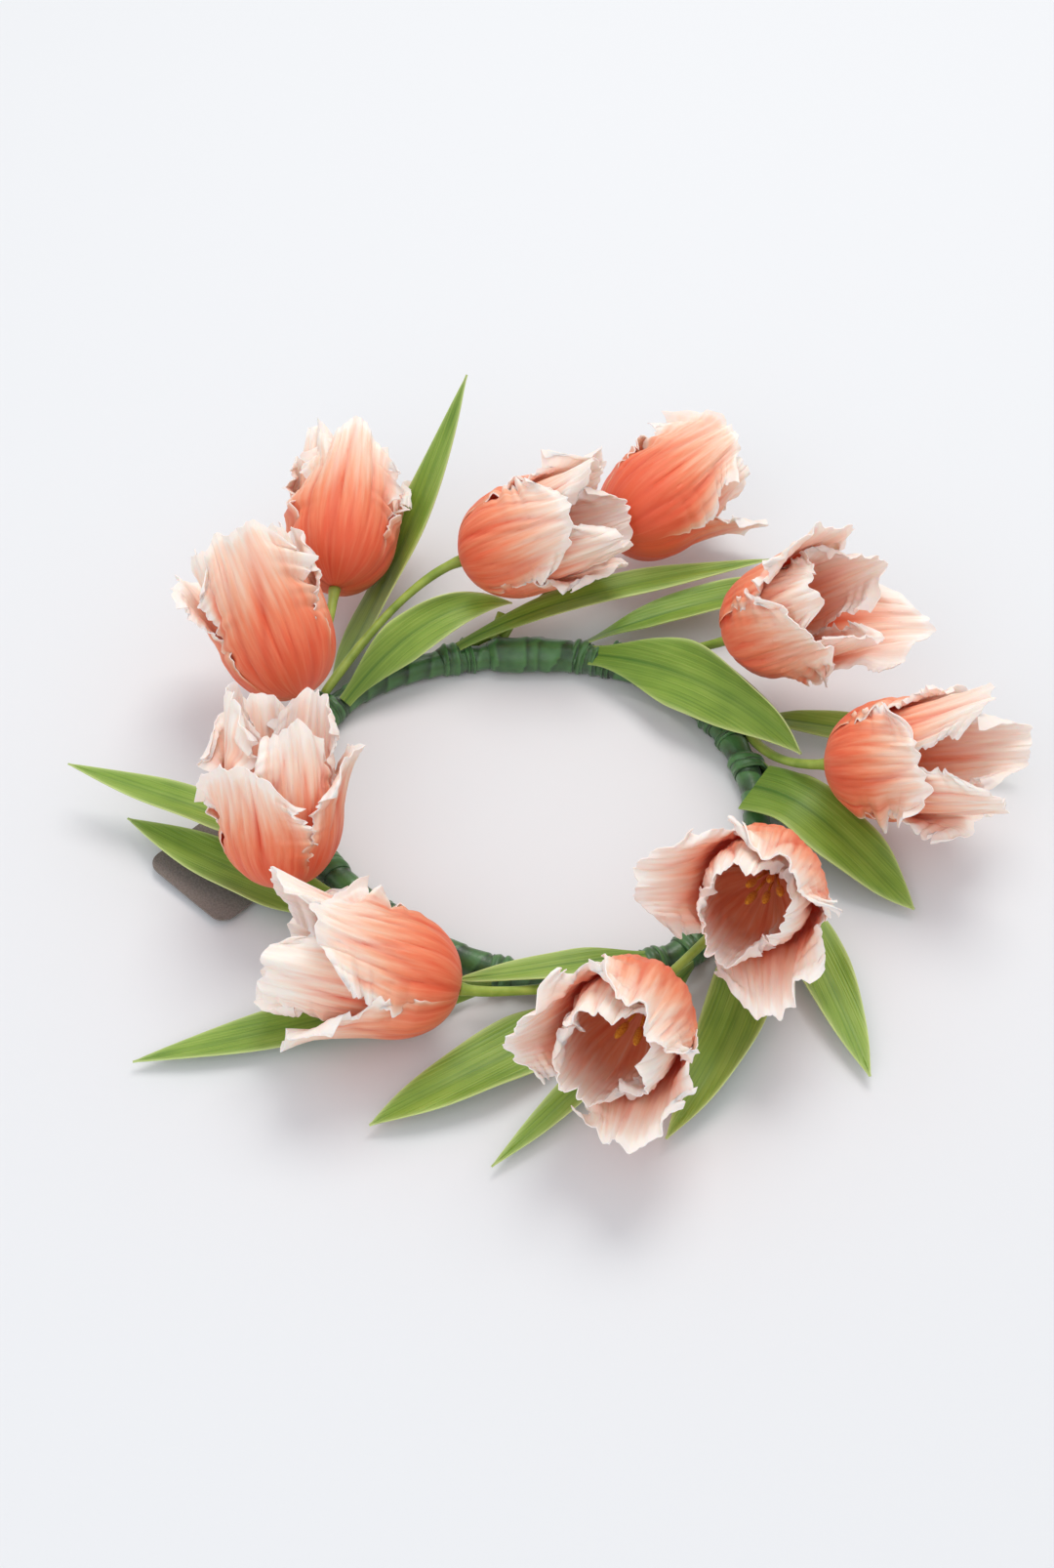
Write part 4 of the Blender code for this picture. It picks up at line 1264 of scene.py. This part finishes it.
def stem_loops(plan):
    """Rings of points along a curve from the tape's direction to the bloom's axis."""
    foot, base, axis, _, _ = bloom_frame(plan)
    span = np.linalg.norm(base - foot)
    set_off = clockwise(plan.foot) + UP * 0.2
    leave = foot + set_off / np.linalg.norm(set_off) * span * STEM_LEAVE
    arrive = base - axis * span * STEM_NECK
    t = np.linspace(0, 1, STEM_ROWS)[:, None]
    line = foot * (1 - t) ** 3 + leave * 3 * (1 - t) ** 2 * t
    line = line + arrive * 3 * (1 - t) * t**2 + base * t**3
    ahead = unit(np.gradient(line, axis=0))
    across = unit(np.cross(UP, ahead))
    size = STEM_RADIUS * (0.92 + 0.06 * np.sin(t * 9) + 0.3 * smooth(0.88, 1.0, t))
    size[0] *= 0.35
    size[1] *= 0.85
    rims = spokes(across, np.cross(ahead, across), STEM_SIDES)
    return line[:, None, :] + rims * size[:, None, :]


for name, plan in TULIPS.items():
    loops = stem_loops(plan)
    faces = skin(loops)
    last = STEM_ROWS * STEM_SIDES
    points = np.concatenate([loops.reshape(-1, 3), loops[[0, -1]].mean(1)])
    quads = [tuple(face) for face in faces.tolist()]
    ring = [(i, (i + 1) % STEM_SIDES) for i in range(STEM_SIDES)]
    far = last - STEM_SIDES
    quads += [(after, i, last) for i, after in ring]
    quads += [(far + i, far + after, last + 1) for i, after in ring]
    mesh = bpy.data.meshes.new(name + "_stem_coated")
    mesh.from_pydata(points.tolist(), [], quads)
    mesh.materials.append(STEM_COAT)
    mesh.shade_smooth()
    piece = put(bpy.data.objects.new(name + "_stem_coated", mesh))
    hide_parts(name + "_stem")
    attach(piece, name)
print("stems", len(TULIPS))

# %% Cut ends beside the binding
# The florist trims the spare stems where they come out of the binding.
STUBS = ((101, 35, 0.012, 35), (98.5, 5, 0.010, 20))


def stub(name, foot, seat, length, lift):
    """A short cut end that stands off the ring outwards."""
    start = seat_point(foot, seat, 2 * STEM_RADIUS)
    turn = math.radians(lift)
    ahead = (outward(foot) * 0.8 + clockwise(foot) * 0.6) * math.cos(turn) + UP * math.sin(turn)
    across = np.cross(UP, ahead)
    across /= np.linalg.norm(across)
    over = np.cross(ahead, across)
    turns = 2 * np.pi * np.arange(STEM_SIDES) / STEM_SIDES
    rim = across * np.cos(turns)[:, None] + over * np.sin(turns)[:, None]
    stations = ((0.0, 0.05), (0.0, 0.9), (0.5, 0.95), (0.97, 1.0), (1.0, 0.85), (0.99, 0.05))
    loops = np.array(
        [start + ahead * share * length + rim * STEM_RADIUS * wide for share, wide in stations]
    )
    piece = mesh_piece(name, loops.reshape(-1, 3), skin(loops), [STEM_COAT])
    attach(piece, "root")


for number, (foot, seat, length, lift) in enumerate(STUBS):
    stub(f"cut_end_{number + 1}", foot, seat, length, lift)
print("cut ends", len(STUBS))

# %% [markdown]
# ## Stamens
# Inside each bloom, six stamens stand in a small circle: a thin stalk each, with a long pod of
# pollen on top. They repeat, so Geometry Nodes set one stamen on each point of the circle, leaning
# outwards by a slightly random angle. The seed is fixed for each bloom.

# %% A node group that plants the stamens
STAMEN_COUNT = 6
STAMEN_LENGTH = 0.0140
ANTHER_LENGTH = 0.0115
ANTHER_WIDTH = 0.0032


def stamen_tree():
    tree, given, result = new_tree(
        "circle of stamens",
        (
            ("Geometry", "NodeSocketGeometry", None),
            ("Count", "NodeSocketInt", 6),
            ("Filament", "NodeSocketFloat", 0.01),
            ("Anther Length", "NodeSocketFloat", 0.008),
            ("Anther Width", "NodeSocketFloat", 0.0026),
            ("Seed", "NodeSocketInt", 1),
            ("Finish", "NodeSocketMaterial", None),
        ),
    )

    half_anther = add(
        tree, "ShaderNodeMath", {0: given["Anther Length"], 1: 0.4}, operation="MULTIPLY"
    )
    tip = add(
        tree, "ShaderNodeMath", {0: given["Filament"], 1: half_anther.outputs[0]}, operation="ADD"
    )
    rod = add(
        tree,
        "GeometryNodeMeshCone",
        {"Vertices": 8, "Radius Top": 0.0004, "Radius Bottom": 0.0007, "Depth": given["Filament"]},
    )
    ball = add(tree, "GeometryNodeMeshUVSphere", {"Segments": 10, "Rings": 8, "Radius": 0.5})
    pod_size = add(
        tree,
        "ShaderNodeCombineXYZ",
        {"X": given["Anther Width"], "Y": given["Anther Width"], "Z": given["Anther Length"]},
    )
    pod_place = add(tree, "ShaderNodeCombineXYZ", {"Z": tip.outputs[0]})
    pod = add(
        tree,
        "GeometryNodeTransform",
        {
            "Geometry": ball.outputs["Mesh"],
            "Translation": pod_place.outputs[0],
            "Scale": pod_size.outputs[0],
        },
    )
    both = add(tree, "GeometryNodeJoinGeometry")
    tree.links.new(rod.outputs["Mesh"], both.inputs[0])
    tree.links.new(pod.outputs[0], both.inputs[0])
    circle = add(tree, "GeometryNodeMeshCircle", {"Vertices": given["Count"], "Radius": 0.0022})
    position = add(tree, "GeometryNodeInputPosition").outputs[0]
    parts = add(tree, "ShaderNodeSeparateXYZ", {0: position})
    angle = add(
        tree, "ShaderNodeMath", {0: parts.outputs[1], 1: parts.outputs[0]}, operation="ARCTAN2"
    )
    lean = add(
        tree, "FunctionNodeRandomValue", {2: 0.08, 3: 0.3, "Seed": given["Seed"]}, data_type="FLOAT"
    )
    turn = add(tree, "ShaderNodeCombineXYZ", {"Y": lean.outputs[1], "Z": angle.outputs[0]})
    planted = add(
        tree,
        "GeometryNodeInstanceOnPoints",
        {"Points": circle.outputs[0], "Instance": both.outputs[0], "Rotation": turn.outputs[0]},
    )
    real = add(tree, "GeometryNodeRealizeInstances", {0: planted.outputs[0]})
    coated = add(
        tree, "GeometryNodeSetMaterial", {"Geometry": real.outputs[0], "Material": given["Finish"]}
    )
    tree.links.new(coated.outputs[0], result[0])
    return tree


# %% Plant them in each bloom
planting = stamen_tree()
for number, (name, plan) in enumerate(TULIPS.items()):
    _, base, axis, side, up = bloom_frame(plan)
    seedling = bpy.data.objects.new("seedling", bpy.data.meshes.new("seedling"))
    piece = grown(
        name + "_stamens_flocked",
        seedling,
        planting,
        {
            "Count": STAMEN_COUNT,
            "Filament": STAMEN_LENGTH,
            "Anther Length": ANTHER_LENGTH,
            "Anther Width": ANTHER_WIDTH,
            "Seed": number,
            "Finish": POLLEN,
        },
    )
    place = Matrix((side, up, axis)).transposed().to_4x4()
    place.translation = base + axis * 0.0045
    piece.data.transform(place)
    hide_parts(name + "_stamens")
    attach(piece, name)
print("stamens", STAMEN_COUNT * len(TULIPS))

# %% [markdown]
# ## The tag and its thread
# A blank card hangs from a loop of cotton thread. Its outline has rounded corners and a punched
# hole, and as the outline can be seen whole from the hole, rings of points between the two make
# the card. It is bowed a little, as card that has lain in a packet is.

# %% Cut the card
TAG_LENGTH = 0.042
TAG_WIDTH = 0.045
TAG_THICKNESS = 0.0008
TAG_CORNER = 0.006
TAG_HOLE_RADIUS = 0.0020
TAG_HOLE_INSET = 0.006
TAG_FLOOR = 0.0015
TAG_ANGLE = 183
TAG_HEADING = 227
TAG_TIE_GAP = 0.0120
TAG_BOW = 0.0012
TAG_RINGS = 22
TAG_POINTS = 128

tie = outward(TAG_ANGLE) * (ring_radius(TAG_ANGLE) + TAPE_RADIUS + GAP) + UP * RING_HEIGHT
tag_ahead = outward(TAG_HEADING)
tag_across = np.cross(UP, tag_ahead)
card_start = tie + tag_ahead * TAG_TIE_GAP
card_start[2] = TAG_FLOOR
corner_turns = np.linspace(0, math.pi / 2, 9)
outline = []
for quarter, (along, across) in enumerate(((1, 1), (0, 1), (0, -1), (1, -1))):
    middle_along = TAG_LENGTH - TAG_CORNER if along else TAG_CORNER
    middle = np.array((middle_along, across * (TAG_WIDTH / 2 - TAG_CORNER)))
    turns = corner_turns + quarter * math.pi / 2
    outline += list(middle + TAG_CORNER * np.stack([np.cos(turns), np.sin(turns)], -1))
outline = np.array(outline + outline[:1])
pace = np.concatenate([[0], np.cumsum(np.linalg.norm(np.diff(outline, axis=0), axis=1))])
spots = np.linspace(0, pace[-1], TAG_POINTS, endpoint=False)
edge = np.stack([np.interp(spots, pace, outline[:, i]) for i in (0, 1)], -1)
hole_centre = np.array((TAG_HOLE_INSET, 0.0))
sight = edge - hole_centre
hole = hole_centre + TAG_HOLE_RADIUS * sight / np.linalg.norm(sight, axis=1, keepdims=True)
grow = np.linspace(0, 1, TAG_RINGS)[:, None, None]
flat = hole + (edge - hole) * grow
bow = TAG_BOW * (flat[..., 0] / TAG_LENGTH) ** 2
bow = bow + 0.4 * TAG_BOW * (flat[..., 1] / TAG_WIDTH * 2) ** 2
lower = card_start + tag_ahead * flat[..., :1] + tag_across * flat[..., 1:] + UP * bow[..., None]
card_loops = np.concatenate([lower, (lower + UP * TAG_THICKNESS)[::-1]])
card = mesh_piece("tag_card", card_loops.reshape(-1, 3), skin(card_loops, "round")[:, ::-1], [CARD])
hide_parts("tag")
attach(card, "tag")

# %% Tie it on
THREAD_RADIUS = 0.0004
THREAD_SIDES = 8
STEADY = np.array((0.31, 0.52, 0.80))  # a direction that the thread doesn't run along


def smooth_route(places, steps):
    """A smooth line through the places given."""
    held = np.array(places)
    before = np.vstack([2 * held[0] - held[1], held, 2 * held[-1] - held[-2]])
    line = []
    for i in range(len(held) - 1):
        a, b, c, d = before[i : i + 4]
        for t in np.linspace(0, 1, steps, endpoint=False):
            bend = 2 * a - 5 * b + 4 * c - d + t * (3 * (b - c) + d - a)
            line.append(b + 0.5 * t * (c - a + t * bend))
    return np.array(line + [held[-1]])


def thread_tube(name, line, closed):
    """A round tube along a line."""
    ahead = np.roll(line, -1, 0) - np.roll(line, 1, 0) if closed else np.gradient(line, axis=0)
    ahead = unit(ahead)
    across = unit(np.cross(STEADY, ahead))
    rims = spokes(across, np.cross(ahead, across), THREAD_SIDES)
    loops = line[:, None] + rims * THREAD_RADIUS
    if not closed:
        loops[[0, -1]] = line[[0, -1]][:, None] + rims[[0, -1]] * THREAD_RADIUS * 0.05
    return mesh_piece(
        name, loops.reshape(-1, 3), skin(loops, "round" if closed else "open"), [COTTON]
    )


eye = card_start + tag_ahead * TAG_HOLE_INSET
past_eye = eye + tag_ahead * 0.0009
route = smooth_route(
    [
        tie + tag_across * 0.0014,
        tie + (eye - tie) * 0.35 + tag_across * 0.0016 + UP * 0.0006,
        eye - tag_ahead * 0.0030 + UP * 0.0024 + tag_across * 0.0007,
        past_eye + UP * 0.0021,
        past_eye + tag_ahead * 0.0003 + UP * 0.0004,
        past_eye - tag_ahead * 0.0012 - UP * 0.0008,
        eye - tag_ahead * 0.0070 - UP * 0.0008 - tag_across * 0.0007,
        tie + (eye - tie) * 0.35 - tag_across * 0.0016 - UP * 0.0006,
        tie - tag_across * 0.0014,
    ],
    7,
)
thread = thread_tube("tag_thread", route, False)
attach(thread, "tag")
loop_turns = np.linspace(0, 2 * math.pi, 48, endpoint=False)
for number, shift in enumerate((-0.5, 0.5)):
    hug = TAPE_RADIUS + THREAD_RADIUS
    middle_out = ring_radius(TAG_ANGLE) + hug * np.cos(loop_turns)
    middle_up = np.maximum(RING_HEIGHT + hug * np.sin(loop_turns), THREAD_RADIUS)
    circle = outward(TAG_ANGLE + shift) * middle_out[:, None] + UP * middle_up[:, None]
    loop = thread_tube(f"tag_loop_{number + 1}", circle, True)
    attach(loop, "root")
